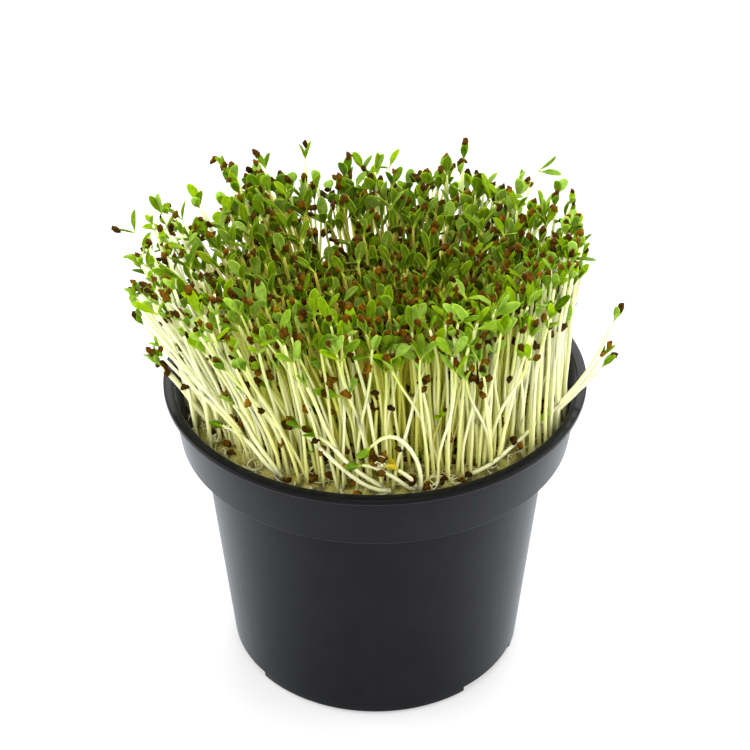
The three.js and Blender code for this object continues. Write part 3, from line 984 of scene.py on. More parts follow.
def medium():
    top = MEDIUM_TOP - GAP
    slope = (COLLAR_TOP_RADIUS - COLLAR_BOTTOM_RADIUS) / (POT_HEIGHT - SHOULDER_HEIGHT - WALL)
    edge = COLLAR_BOTTOM_RADIUS - WALL - GAP + slope * (top - SHOULDER_HEIGHT - WALL)
    rings = [(edge - 0.3, top)] + [(edge - 0.3 - 0.55 * step, top) for step in range(1, 12)]
    profile = (
        (0, FLOOR + GAP),
        (BASE_RADIUS - WALL - GAP, FLOOR + GAP),
        (SHOULDER_RADIUS - WALL - GAP, SHOULDER_HEIGHT + WALL + GAP),
        (COLLAR_BOTTOM_RADIUS - WALL - GAP, SHOULDER_HEIGHT + WALL + GAP),
        (edge, top - 0.6),
        *rings,
        (20, top),
        (0, top),
    )
    bm = turned(profile, MEDIUM_STEPS)
    roughened(
        bm, *CRUMBLY, lambda co: co.z > (top - 0.1) * MM and co.xy.length > CRUMBLY_FROM * MM
    )
    body = mesh_from("medium", bm)
    inner, recess_top = CHANNEL_INNER - WALL - GAP, CHANNEL_HEIGHT + WALL + GAP
    for angle in CHANNEL_ANGLES:
        width = CHANNEL_WIDTH + 2 * ROOF_MARGIN
        body = combined(body, sector(inner, RIM_RADIUS, angle, width, 0, recess_top), "DIFFERENCE")
    piece = new_object("medium_surface", body, growing_medium)
    dress(piece, ["growing_medium"])


def mat_height(radius):
    return float(np.interp(radius, *MAT_DOME))


def mat():
    profile = (
        (0, MEDIUM_TOP),
        (45.6, MEDIUM_TOP),
        (46.3, MEDIUM_TOP + 0.5),
        (45.9, MEDIUM_TOP + 1.4),
        (45.0, MEDIUM_TOP + 2.4),
        *((radius, mat_height(radius)) for radius in (44.4, *np.linspace(43.8, 0.8, 44), 0)),
    )
    bm = turned(profile, MAT_STEPS)
    for amount, size in FELTED:
        roughened(bm, amount, size, lambda co: co.z > (MEDIUM_TOP + 0.5) * MM)
    piece = new_object("root_felt", mesh_from("root_felt", bm), root_mat)
    dress(piece, sprout_nodes())


def sprout_nodes(ring=""):
    return sorted(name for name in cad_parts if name.startswith("sprouts_" + ring))


# ---------------------------------------------------------------- the stand


def unit(vector):
    return vector / np.linalg.norm(vector)


def smoothstep(value, low, high):
    share = np.clip((value - low) / (high - low), 0, 1)
    return share * share * (3 - 2 * share)


def bezier(points, at):
    """Points at the given shares of a cubic curve with four control points."""
    t = np.asarray(at)[:, None]
    a, b, c, d = points
    return a * (1 - t) ** 3 + 3 * b * t * (1 - t) ** 2 + 3 * c * t**2 * (1 - t) + d * t**3


def patch_for(x, y):
    """Which ring of the mat a point is on, and the point moved clear of its patch's edges."""
    radius = math.hypot(x, y)
    turn = (math.atan2(y, x) + 2 * math.pi) % (2 * math.pi)
    ring = next(i for i, edge in enumerate(PATCH_EDGES) if radius < edge) - 1
    step = 2 * math.pi / PATCH_COUNTS[ring]
    patch = math.floor(turn / step)
    inner = 0 if ring == 0 else PATCH_EDGES[ring] + EDGE_MARGIN
    kept = max(inner, min(radius, PATCH_EDGES[ring + 1] - EDGE_MARGIN))
    slack = 0 if ring == 0 else EDGE_MARGIN / kept
    angle = max(patch * step + slack, min(turn, (patch + 1) * step - slack))
    return ring, *on_circle(kept, angle)


def foot_at(ring, x, y):
    return np.array((x, y, PATCH_TOPS[ring] - ROOT_DEPTH))


def spiral_place(random, index, count, turn, jitter):
    """A place on a golden-angle spiral over the bed, moved by up to half the jitter."""
    radius = BED_RADIUS * math.sqrt((index + 0.5) / count)
    x, y = on_circle(radius, index * GOLDEN_ANGLE + turn)
    return x + jitter * (random() - 0.5), y + jitter * (random() - 0.5)


def lean_at(x, y):
    """How far a stem that starts at x, y leans by its tip."""
    left = max(0, (LEAN_FROM - x) / (LEAN_FROM + BED_RADIUS))
    right = max(0, (x - LEAN_FROM) / (BED_RADIUS - LEAN_FROM))
    back = BACK_SPREAD * x * max(0, y) / BED_RADIUS
    turned = 1 - LEFT_TURN * y / BED_RADIUS
    return RIGHT_LEAN * right - LEFT_LEAN * left**LEAN_POWER * turned + back, LEAN_OUT * y


def height_at(x, y):
    """The middle height of the tips over a foot at x, y: lowest at the back."""
    front = max(0, -y / BED_RADIUS)
    return CANOPY_HEIGHT + FRONT_RISE * front + SIDE_RISE * (x / BED_RADIUS) ** 2


def rising(foot, tip, bow=0.0):
    """A stem's curve: it rises, bends one way, leans out and bends back."""
    reach = tip - foot
    return foot, foot + reach * LOW_BEND + bow, foot + reach * HIGH_BEND - bow, tip


def leaf_frame(sprout):
    """The stem's direction at its tip, the way the pair faces, and the width of its blades."""
    along = unit(sprout["curve"][3] - sprout["curve"][2])
    across = np.array((math.cos(sprout["facing"]), math.sin(sprout["facing"]), 0))
    across = unit(across - along * across.dot(along))
    return along, across, np.cross(along, across)


def leaf_line(sprout, at):
    """Points on the middle line of the leaf pair, with the blade's direction and upper face."""
    along, across, _ = leaf_frame(sprout)
    at = np.asarray(at, float)
    side = np.sign(at)
    opening = np.where(side < 0, sprout["openings"][0], sprout["openings"][1])[:, None]
    side = side[:, None]
    direction = along * np.cos(opening) + across * side * np.sin(opening)
    face = along * np.sin(opening) - across * side * np.cos(opening)
    reach = np.abs(at)[:, None] * sprout["leaf_length"]
    arch = sprout.get("arch", LEAF_ARCH) * at[:, None] ** 2
    return sprout["curve"][3] + direction * reach - face * arch, direction, face


def leaf_half_width(at):
    """Half the width of a cotyledon along its length."""
    along = np.abs(at)
    swelling = PETIOLE + (1 - PETIOLE) * smoothstep(along, 0.1, 0.55)
    tip = np.maximum(0, (along - 0.6) / 0.4)
    return LEAF_WIDTH / 2 * swelling * np.sqrt(np.maximum(0, 1 - tip * tip))


def balls_of(sprout):
    """Balls, as x, y, z and radius, that stand for a sprout while others are kept clear of it."""
    stem = bezier(sprout["curve"], STEM_BALLS)
    leaf, _, _ = leaf_line(sprout, LEAF_BALLS)
    widths = leaf_half_width(LEAF_BALLS)
    for i, at in enumerate(LEAF_BALLS):
        if abs(at) == LEAF_BALLS[-1] and math.copysign(1, at) in sprout["coats"]:
            widths[i] = COAT_RADIUS
    radii = np.concatenate((np.full(len(stem), STEM_RADIUS), widths))
    return np.column_stack((np.vstack((stem, leaf)), radii))


def is_clear(balls, others, share, clearance=0.0):
    """Whether no ball comes near one of the others; only those within reach are measured."""
    low, high = balls[:, :3].min(0) - BALL_MARGIN, balls[:, :3].max(0) + BALL_MARGIN
    near = others[np.all((others[:, :3] > low) & (others[:, :3] < high), axis=1)]
    apart = np.linalg.norm(balls[:, None, :3] - near[None, :, :3], axis=2)
    return bool(np.all(apart > share * (balls[:, None, 3] + near[None, :, 3]) + clearance))


def plant(stand, kept, sprout):
    stand.append(sprout)
    kept.append(balls_of(sprout))


def draw_leaves(random):
    facing = random() * math.pi
    opening = OPENING + OPENING_SPREAD * random()
    twist = OPENING_TWIST * (random() - 0.5)
    length = LEAF_LENGTH + LEAF_LENGTH_SPREAD * (random() - 0.5)
    coated = random()
    coats = [-1 if coated < COAT_SHARE / 2 else 1] if coated < COAT_SHARE else []
    return {
        "facing": facing,
        "openings": (opening + twist, opening - twist),
        "leaf_length": length,
        "coats": coats,
    }


def draw_sprout(random, foot, height, lean, jitter=LEAN_JITTER):
    """One try at a sprout on its foot."""
    sway = random() * 2 * math.pi
    bow = np.array((math.cos(sway), math.sin(sway), 0)) * (BOW * random())
    tip_x = foot[0] + lean[0] + jitter * (random() - 0.5)
    tip_y = foot[1] + lean[1] + jitter * (random() - 0.5)
    tip = np.array((tip_x, tip_y, height + HEIGHT_SPREAD * (random() - 0.5)))
    return {"curve": rising(foot, tip, bow), **draw_leaves(random)}


def grow_strays(random, stand, kept):
    """They draw their leaves as all do, so that the later draws come out the same."""
    for place, over, tip, facing in STRAYS:
        foot = foot_at(2, *place)
        over, tip = np.array(over), np.array(tip)
        sprout = {
            **draw_leaves(random),
            "curve": (foot, foot + (over - foot) * STRAY_LOW, over + (tip - over) * STRAY_HIGH, tip),
            "facing": facing,
            "openings": (OPENING, OPENING),
            "leaf_length": STRAY_LEAF,
            "coats": [1],
            "ring": patch_for(*place)[0],
            "girth": STRAY_GIRTH,
            "slim": STRAY_BREADTH,
            "blanched": True,
        }
        plant(stand, kept, sprout)


def grow_packed(stand, kept):
    """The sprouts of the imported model, by the rule that grew them there."""
    random = make_random(SEED)
    grow_strays(random, stand, kept)
    for index in range(SPROUTS):
        ring, x, y = patch_for(*spiral_place(random, index, SPROUTS, 0, JITTER))
        foot = foot_at(ring, x, y)
        height = height_at(x, y) - (SHORT_DROP if index % SHORT_EVERY == 0 else 0)
        taken = np.vstack(kept)
        for _ in range(TRIES):
            sprout = draw_sprout(random, foot, height, lean_at(x, y))
            if is_clear(balls_of(sprout), taken, 1.0, CLEARANCE):
                plant(stand, kept, {**sprout, "ring": ring})
                break


def grow_tall(stand, kept):
    for number, (place, tip, facing) in enumerate(TALL):
        sprout = {
            "curve": rising(foot_at(2, *place), np.array(tip)),
            "facing": facing,
            "openings": (TALL_OPENING, 0.2 + 0.15 * number),
            "leaf_length": TALL_LEAF,
            "coats": [1],
            "ring": 2,
            "girth": TALL_GIRTH,
        }
        plant(stand, kept, sprout)


def foot_under(tip):
    """The ring and the foot on the mat that the lean of the stand carries to this tip."""
    x, y = tip[:2]
    for _ in range(4):
        lean = lean_at(x, y)
        x, y = tip[0] - lean[0], tip[1] - lean[1]
    radius = min(math.hypot(x, y), BED_RADIUS)
    ring, x, y = patch_for(*on_circle(radius, math.atan2(y, x)))
    return ring, foot_at(ring, x, y)


def grow_leading(stand, kept):
    """Each moves a little along the line of sight until it stands clear of the others."""
    for place, openings, length, roll in LEADING:
        away = unit(np.array(place) - VIEWPOINT)
        for shift in LEADING_SHIFTS:
            tip = np.array(place) + away * shift
            ring, foot = foot_under(tip)
            sprout = {
                "curve": rising(foot, tip),
                "facing": 0.0,
                "openings": openings,
                "leaf_length": length,
                "arch": LEADING_ARCH,
                "roll": roll,
                "coats": [],
                "ring": ring,
                "leads": True,
                "slim": LEADING_BREADTH,
            }
            if is_clear(balls_of(sprout), np.vstack(kept), LEADING_BALL_SHARE):
                plant(stand, kept, sprout)
                break


def grow_lying(stand, kept):
    """Their curves pass through the two middle points at a third and two thirds of the way."""
    for points, facing, withered in LYING:
        foot, first, second, tip = (np.array(point, float) for point in points)
        low = (-5 * foot + 18 * first - 9 * second + 2 * tip) / 6
        high = (2 * foot - 9 * first + 18 * second - 5 * tip) / 6
        sprout = {
            "curve": (foot, low, high, tip),
            "facing": facing,
            "openings": LYING_OPENINGS,
            "leaf_length": LYING_LEAF,
            "coats": [] if withered else [1],
            "withered": withered,
            "ring": 2,
            "girth": LYING_GIRTH,
            "lies": True,
            "blanched": True,
        }
        plant(stand, kept, sprout)


def underside_at(x, y):
    """The height that the leaves of the finer sprouts stay above: lowest in the middle and back."""
    lowest = np.interp(x, *UNDERSIDE) - UNDERSIDE_SLOPE * y
    return np.minimum(lowest, np.interp(x, *UNDERSIDE_CAP))


def within_reach(balls, slack, right=REACH_RIGHT):
    """Whether a sprout stays inside the outline of the stand."""
    x, y = balls[:, 0], balls[:, 1]
    leaves = balls[-len(LEAF_BALLS) :]
    return bool(
        np.all(x > -(REACH_LEFT - LEFT_TAPER * np.maximum(0, y)))
        and np.all(x < right - RIGHT_TAPER * np.maximum(0, -y))
        and np.all(y < REACH_BACK)
        and np.all(y > -REACH_FRONT)
        and np.all(leaves[:, 2] > underside_at(leaves[:, 0], leaves[:, 1]) - slack)
        and np.all(leaves[:, 2] < REACH_UP)
    )


def paleness(x, y):
    """How far a foot is into the thinner part at the left of the stand, from 0 to 1."""
    return ramp(THIN_FROM - x - THIN_BEHIND * max(0, y), 0, THIN_OVER)


def is_bare(x, y):
    """Whether a foot would stand in one of the bare partings of the stand."""
    return any(((x - u) / wide) ** 2 + ((y - v) / deep) ** 2 < 1 for u, v, wide, deep in BARE_SPOTS)


def hollow_at(x, y):
    """How much lower the finer sprouts are in the dip behind the middle of the stand."""
    u, v, size, deep = HOLLOW
    return deep * math.exp(-((x - u) ** 2 + (y - v) ** 2) / size**2)


def back_rise(y):
    """How much higher the finer sprouts are along the back of the stand."""
    return BACK_RISE * ramp(y, *BACK_RISE_FROM)


def right_rise(x):
    """How much taller the finer sprouts at the right edge stand."""
    return RIGHT_RISE * smoothstep(x, *RIGHT_RISE_FROM)


def draw_coats(random, x):
    """The tips that a finer sprout keeps its coats on, with fewer of them at the left."""
    if random() >= FILL_COAT_SHARE * (FEW_COATS if x < FEW_COATS_BEYOND else 1):
        return []
    return [-1, 1] if random() < FILL_PAIR_SHARE else [-1 if random() < 0.5 else 1]


def add_fill(random, stand, kept, foot, height, jitter):
    """Tries a finer sprout on this foot until its leaves all but touch the others at most."""
    x, y, _ = foot
    taken = np.vstack(kept)
    slack = UNDERSIDE_SLACK * random() ** 2 * (1 if abs(x) < SLACK_WITHIN else SLACK_BEYOND)
    for _ in range(FILL_TRIES):
        sprout = draw_sprout(random, foot, height, lean_at(x, y), jitter)
        openness = drawn(random, *FILL_OPENNESS)
        sprout["openings"] = tuple(angle * openness for angle in sprout["openings"])
        sprout["arch"] = drawn(random, *FILL_ARCH)
        sprout["leaf_length"] *= drawn(random, *FILL_LEAF) * (1 - PALE_LEAF * paleness(x, y))
        sprout["slim"] = 1 + BACK_BREADTH * ramp(y, *BACK_BREADTH_FROM)
        sprout["coats"] = draw_coats(random, x)
        balls = balls_of(sprout)
        if within_reach(balls, slack) and is_clear(balls, taken, FILL_BALL_SHARE):
            plant(stand, kept, {**sprout, "ring": patch_for(x, y)[0]})
            break


def grow_fill(stand, kept):
    """Finer sprouts between the others, on a second spiral."""
    random = make_random(FILL_SEED)
    for index in range(FILL_SPROUTS):
        place = spiral_place(random, index, FILL_SPROUTS, FILL_TURN, FILL_JITTER)
        ring, x, y = patch_for(*place)
        drop = FILL_SHORT_DROP if random() < FILL_SHORT_SHARE else FILL_DROP
        height = height_at(x, y) - drop - hollow_at(x, y) + back_rise(y) + right_rise(x)
        height += FILL_HEIGHT_SPREAD * (random() - 0.5)
        thinned = random() < THIN_BY * paleness(x, y) + (FAR_LEFT_THIN if x < FAR_LEFT else 0)
        if not thinned and not is_bare(x, y):
            add_fill(random, stand, kept, foot_at(ring, x, y), height, FILL_LEAN_JITTER)


def grow_edge(stand, kept):
    random = make_random(EDGE_SEED)
    for _ in range(EDGE_SPROUTS):
        radius = between(random, *EDGE_RADII)
        ring, x, y = patch_for(*on_circle(radius, any_turn(random)))
        drop = EDGE_HEIGHT_SPREAD * random()
        height = height_at(x, y) - FILL_DROP - drop + back_rise(y) + right_rise(x)
        far_left = x < FAR_LEFT and y > FAR_LEFT_EDGE_FRONT
        thinned = random() < FAR_LEFT_EDGE_THIN and far_left
        jitter = EDGE_LEAN_JITTER * (FRONT_CROSSING if y < FRONT_FROM else 1)
        if not thinned and not is_bare(x, y):
            add_fill(random, stand, kept, foot_at(ring, x, y), height, jitter)


def thin_out(stand, first):
    """Takes out some of the sprouts from first on at the far sides, where the stand is airier."""
    random = make_random(THIN_SEED)
    stand[first:] = [
        sprout
        for sprout in stand[first:]
        if random() > THIN_OUT * smoothstep(abs(sprout["curve"][3][0]), *THIN_OUT_FROM)
    ]


def draw_by_wall(random, turns, lean, radii, tips, leaf, girth):
    """One upright sprout by the wall, bowed towards the middle of the pot."""
    radius = between(random, *radii)
    x, y = on_circle(radius, math.radians(between(random, *turns)))
    foot = np.array((x, y, MEDIUM_TOP - WALL_ROOT_DEPTH))
    lean, top = between(random, *lean), between(random, *tips)
    tip = np.array((x + lean, y + WALL_SWAY * (random() - 0.5), top))
    bow = np.array((drawn(random, *WALL_BOW), WALL_SIDE_BOW * (random() - 0.5), 0)) * np.sign(-x)
    low, high = (foot + (tip - foot) * bend + bow for bend in WALL_BENDS)
    return {
        **draw_leaves(random),
        "curve": (foot, low, high, tip),
        "openings": (drawn(random, *WALL_OPENING), drawn(random, *WALL_OPENING)),
        "leaf_length": between(random, *leaf),
        "coats": [1] if random() < WALL_COAT_SHARE else [],
        "ring": 2,
        "girth": girth,
    }


def grow_by_wall(stand, kept):
    random = make_random(WALL_SEED)
    for turns, count, *habit in WALL_GROUPS:
        for _ in range(count):
            sprout = draw_by_wall(random, turns, *habit)
            balls = balls_of(sprout)
            inside = within_reach(balls, WALL_SLACK, WALL_REACH)
            if inside and is_clear(balls, np.vstack(kept), WALL_BALL_SHARE):
                plant(stand, kept, sprout)


def draw_late(random):
    """One late sprout, its small leaves still all but closed under a coat."""
    low_radius, high_radius = LATE_RADII
    radius = low_radius + (high_radius - low_radius) * math.sqrt(random())
    ring, x, y = patch_for(*on_circle(radius, any_turn(random)))
    foot = foot_at(ring, x, y)
    rise = drawn(random, *LATE_RISE)
    out = 1 + LATE_SPREAD * rise / radius * random()
    bow = np.array((*on_circle(1, any_turn(random)), 0)) * LATE_BOW
    tip = np.array((x * out, y * out, foot[2] + rise)) + bow * LATE_TIP_BOW * random()
    low, high = (foot + (tip - foot) * bend for bend in LATE_BENDS)
    return {
        **draw_leaves(random),
        "curve": (foot, low - bow, high + bow, tip),
        "openings": tuple(drawn(random, *opening) for opening in LATE_OPENINGS),
        "leaf_length": between(random, *LATE_LEAF),
        "coats": [1] if random() < LATE_COAT_SHARE else [],
        "ring": ring,
        "girth": drawn(random, *LATE_GIRTH),
        "withered": random() < WITHERED_SHARE,
    }


def grow_late(stand, kept):
    random = make_random(LATE_SEED)
    lying = np.vstack([balls_of(sprout) for sprout in stand if sprout.get("lies")])
    for _ in range(LATE_SPROUTS):
        sprout = draw_late(random)
        balls = balls_of(sprout)
        inside = math.hypot(*sprout["curve"][3][:2]) < LATE_REACH
        off_lying = inside and is_clear(balls, lying, 1.0, LYING_CLEARANCE)
        if off_lying and is_clear(balls, np.vstack(kept), LATE_BALL_SHARE):
            plant(stand, kept, sprout)


# ---------------------------------------------------------------- repeated shapes


def tube_template(sides, stations):
    """A closed tube of unit radius from z = 0 to z = 1, with no faces across its inside."""
    bm = bmesh.new()
    made = bmesh.ops.create_circle(bm, cap_ends=True, segments=sides, radius=1)
    end = list(made["verts"][0].link_faces)
    for station in range(stations):
        grown = bmesh.ops.extrude_face_region(bm, geom=end)["geom"]
        if station > 0:
            bmesh.ops.delete(bm, geom=end, context="FACES_ONLY")
        end = [item for item in grown if isinstance(item, bmesh.types.BMFace)]
        verts = [item for item in grown if isinstance(item, bmesh.types.BMVert)]
        bmesh.ops.translate(bm, verts=verts, vec=(0, 0, 1 / stations))
    bmesh.ops.recalc_face_normals(bm, faces=bm.faces)
    return mesh_from("tube", bm)


def ball_template(around, along):
    """A unit ball with its poles on Z."""
    bm = bmesh.new()
    bmesh.ops.create_uvsphere(bm, u_segments=around, v_segments=along, radius=1)
    return mesh_from("ball", bm)


def corners_of(mesh):
    flat = np.zeros(len(mesh.vertices) * 3)
    mesh.vertices.foreach_get("co", flat)
    return flat.reshape(-1, 3)


def repeated(name, template, shapes, finish, label, places, growth):
    """One mesh that holds the template once for each shape, its vertices moved to that shape.

    label names what each vertex carries from the template, and growth is each copy's own numbers.
    """
    bm = bmesh.new()
    for _ in shapes:
        bm.from_mesh(template)
    mesh = mesh_from(name, bm)
    mesh.vertices.foreach_set("co", (np.concatenate(shapes) * MM).ravel())
    of_template = np.tile(places, (len(shapes), 1))
    of_copy = np.repeat(np.array(growth), len(template.vertices), axis=0)
    for attribute, values in ((label, of_template), ("growth", of_copy)):
        layer = mesh.attributes.new(attribute, "FLOAT_VECTOR", "POINT")
        layer.data.foreach_set("vector", values.ravel())
    mesh.update()
    return new_object(name, mesh, finish)


def tube_shape(corners, spine, radii):
    """The tube template bent along a spine; spine and radii are given at each of its stations."""
    tangents = np.gradient(spine, axis=0)
    tangents /= np.linalg.norm(tangents, axis=1)[:, None]
    start = np.array((1.0, 0.0, 0.0)) if abs(tangents[0][0]) < 0.8 else np.array((0.0, 1.0, 0.0))
    first = np.empty_like(spine)
    for i, tangent in enumerate(tangents):
        start = unit(start - tangent * start.dot(tangent))
        first[i] = start
    second = np.cross(tangents, first)
    station = np.rint(corners[:, 2] * (len(spine) - 1)).astype(int)
    swing = corners[:, :1] * first[station] + corners[:, 1:2] * second[station]
    return spine[station] + swing * np.asarray(radii)[station][:, None]


def wobble(spine, amount, phase):
    """A stem's small crookedness, none at its two ends."""
    share = np.linspace(0, 1, len(spine))
    swing = amount * np.sin(np.pi * share)
    side = np.sin(7 * share + phase) * swing
    depth = np.cos(5 * share + 1.7 * phase) * swing
    return spine + np.column_stack((side, depth, np.zeros_like(side)))


def stem_shape(corners, sprout):
    _, stoutness, phase = sprout["look"]
    share = np.linspace(0, 1, STEM_STATIONS + 1)
    spine = wobble(bezier(sprout["curve"], share), STEM_WOBBLE, 6.28 * phase)
    girth = THIN_STEM * (0.78 + 0.36 * stoutness) * sprout.get("girth", 1.0)
    return tube_shape(corners, spine, girth * np.interp(share, *STEM_TAPER))


def leaf_share(corners):
    """How far along a leaf each corner of the ball template lies, closer together at the stalk."""
    return ((corners[:, 2] + 1) / 2) ** LEAF_CROWDING


def leaf_shape(corners, sprout, side, look):
    """The ball template drawn out into one cotyledon."""
    _, _, width = leaf_frame(sprout)
    share = leaf_share(corners)
    point, _, face = leaf_line(sprout, side * np.maximum(share, 1e-6))
    roll = sprout.get("roll", 0.0) * smoothstep(share, 0.0, 0.4)[:, None]
    turned_width = width * np.cos(roll) + face * np.sin(roll)
    turned_face = face * np.cos(roll) - width * np.sin(roll)
    ring = np.sqrt(np.maximum(1e-9, 1 - corners[:, 2] ** 2))
    across, up = corners[:, 0] / ring, corners[:, 1] / ring
    size = 0.3 + 0.7 * min(sprout["leaf_length"], LEAF_LENGTH) / LEAF_LENGTH
    half = leaf_half_width(share) * (0.74 + 0.30 * look[1]) * size * sprout.get("slim", 1.0)
    blunt_end = np.sqrt(np.maximum(0, 1.02 - share**4))
    thick = LEAF_THICKNESS / 2 * smoothstep(share, -0.12, 0.3) * blunt_end
    pole = ring < 1e-3
    for values in (across, up, half, thick):
        values[pole] = 0
    cup = (0.1 + 0.32 * look[2]) * across**2 * half
    on_midrib = (np.abs(across) < 0.1) & (up > 0)
    groove = np.where(on_midrib, -0.12 * smoothstep(share, 0.1, 0.5), 0)
    lift = up * thick + cup + groove
    return point + turned_width * (side * across * half)[:, None] + turned_face * lift[:, None]


def coat_shape(corners, centre, length_way, face_way, size, look):
    """The ball template as a husk: a bent drop with a notch, a ridge and puckered sides."""
    x, y, z = corners.T
    drop = 1 - (0.25 + 0.3 * look[0]) * smoothstep(z, 0.1, 1.0) + 0.1 * z
    bend = (0.25 + 0.45 * look[2]) * z**2
    notch = 1 - 0.5 * np.exp(-(((z + 0.15) / 0.33) ** 2)) * np.maximum(0, x)
    local = np.column_stack((x * drop * notch * size[0] - bend, z * size[1], y * drop * size[2]))
    pucker = 0.12 + 0.2 * look[1]
    rough = 1 + pucker * np.sin(6 * x + 9 * look[0]) * np.cos(5 * y + 4 * z + 8 * look[1])
    local *= rough[:, None]
    length_way = unit(length_way)
    face_way = unit(face_way - length_way * face_way.dot(length_way))
    side_way = np.cross(length_way, face_way)
    return centre + local[:, :1] * side_way + local[:, 1:2] * length_way + local[:, 2:] * face_way


# ---------------------------------------------------------------- stems and leaves


def give_looks(stand):
    """Each sprout and each of its leaves gets three numbers for its tint, shade and shape.

    They lie from 0 to 1, but a tint past 1 marks a blanched stem for the finish of the stems.
    """
    random = make_random(LOOK_SEED)
    for sprout in stand:
        sprout["look"] = any_look(random)
        sprout["leaf_looks"] = [any_look(random) for _ in range(2)]
        sprout["leaf_tint"] = sprout["look"][0]
        if sprout.get("blanched"):
            sprout["look"] = (BLANCHED_TINT, 1.0, sprout["look"][2])
            sprout["leaf_tint"] = BLANCHED_LEAF_TINT
        # Painted highlight: the leading sprouts' leaves get high shade numbers, which paint them the
        # pale blue-green that stands for a soft sheen.
        if sprout.get("leads"):
            low, spread = LEADING_SHEEN_SHADES
            sprout["leaf_looks"] = [(a, low + spread * b, c) for a, b, c in sprout["leaf_looks"]]


def depth_of(sprout):
    """How deep in the stand a sprout is: 1 in the middle, 0 at the rim."""
    foot = sprout["curve"][0]
    return max(0.0, 1 - (math.hypot(foot[0], foot[1]) / BED_RADIUS) ** 2)


def stems(grown, ring_name):
    """The stems of one ring; each vertex carries how far up its stem it is."""
    tube = tube_template(STEM_SIDES, STEM_STATIONS)
    corners = corners_of(tube)
    around = np.arctan2(corners[:, 1], corners[:, 0]) / math.pi
    places = np.column_stack((corners[:, 2], around, np.zeros(len(corners))))
    shapes = [stem_shape(corners, sprout) for sprout in grown]
    # The depth in the stand, the third number, drives the painted shade and light in the stems'
    # finish.
    growth = [(*sprout["look"][:2], depth_of(sprout)) for sprout in grown]
    piece = repeated(
        "stems_" + ring_name, tube, shapes, stems_finish, "place_on_stem", places, growth
    )
    dress(piece, sprout_nodes(ring_name))


def leaves(grown, ring_name):
    """The leaves of one ring; a tint past 1 marks a withered one for the finish of the leaves."""
    ball = ball_template(*LEAF_ROWS)
    corners = corners_of(ball)
    ring = np.maximum(1e-3, np.sqrt(np.maximum(0, 1 - corners[:, 2] ** 2)))
    places = np.column_stack((corners[:, 0] / ring, leaf_share(corners), corners[:, 1] / ring))
    shapes, growth = [], []
    for sprout in grown:
        for side, look in zip((-1, 1), sprout["leaf_looks"]):
            tint = 0.6 * sprout["leaf_tint"] + 0.4 * look[0]
            tint = WITHERED_TINT if sprout.get("withered") else tint
            shapes.append(leaf_shape(corners, sprout, side, look))
            # The depth in the stand drives the painted shade in the leaves' finish.
            growth.append((tint, look[1], depth_of(sprout)))
    piece = repeated(
        "leaves_" + ring_name, ball, shapes, leaves_finish, "place_on_leaf", places, growth
    )
    dress(piece, sprout_nodes(ring_name))


# ---------------------------------------------------------------- seed coats


class Husks:
    """Seed coats gathered for each ring of the mat, with the numbers that each one carries."""

    def __init__(self, corners):
        self.corners = corners
        self.random = make_random(COAT_SEED)
        self.shapes = [[] for _ in RING_NAMES]
        self.growth = [[] for _ in RING_NAMES]

    def put(self, ring, centre, length_way, face_way, scale=1.0):
        look = any_look(self.random)
        size = COAT_SIZE * scale * drawn(self.random, *COAT_SCALE)
        if abs(centre[1]) <= COAT_REACH:
            shape = coat_shape(self.corners, centre, length_way, face_way, size, look)
            self.shapes[ring].append(shape)
            self.growth[ring].append(look)


def cap_leaves(husks, stand):
    """Coats on the leaves' tips, with one over both leaves where they are still closed."""
    for sprout in stand:
        small = 0.6 + 0.4 * sprout["leaf_length"] / LEAF_LENGTH
        closed = sprout["coats"] and max(sprout["openings"]) < CLOSED_OPENING
        for sides in [(-1, 1)] if closed else [(side,) for side in sprout["coats"]]:
            points, directions, faces = leaf_line(sprout, [COAT_PLACE * side for side in sides])
            way = directions.sum(0) + COAT_TURN * any_way(husks.random)
            husks.put(sprout["ring"], points.mean(0), way, faces[0], small)


def stick_to_stems(husks, stand):
    random = husks.random
    for _ in range(STUCK_COATS):
        sprout = stand[int(random() * len(stand))]
        at = drawn(random, *STUCK_AT)
        around = any_way(random)
        centre = bezier(sprout["curve"], [at])[0] + around * STUCK_AWAY
        husks.put(sprout["ring"], centre, any_way(random), around)


def strew_among_leaves(husks, stand):
    random = husks.random
    for _ in range(TOP_COATS):
        sprout = stand[int(random() * len(stand))]
        points, _, _ = leaf_line(sprout, [drawn(random, *TOP_AT)])
        around = any_way(random)
        centre = points[0] + around * TOP_AWAY
        husks.put(sprout["ring"], centre, any_way(random), around, SMALL_COAT)


def clump_on_stems(husks, stand):
    """Clumps, each on the stem that passes nearest to its middle."""
    random = husks.random
    share = np.linspace(0.1, 1, 19)
    spines = np.array([bezier(sprout["curve"], share) for sprout in stand])
    for centre, count in CLUMPS:
        away = np.linalg.norm(spines - np.array(centre), axis=2)
        nearest, at = np.unravel_index(int(np.argmin(away)), away.shape)
        ring = stand[nearest]["ring"]
        for _ in range(count):
            spot = spines[nearest, at] + any_way(random) * drawn(random, *CLUMP_AWAY)
            husks.put(ring, spot, any_way(random), any_way(random), SMALL_COAT)


def strew_on_mat(husks):
    random = husks.random
    for _ in range(LOOSE_COATS):
        radius = drawn(random, *LOOSE_RADIUS)
        turn = any_turn(random)
        x, y = on_circle(radius, turn)
        centre = np.array((x, y, mat_height(radius) + LOOSE_HEIGHT))
        flat = np.array((*on_circle(1, 9 * turn), 0.25 * (random() - 0.5)))
        husks.put(patch_for(x, y)[0], centre, flat, np.array((0.0, 0.0, 1.0)))


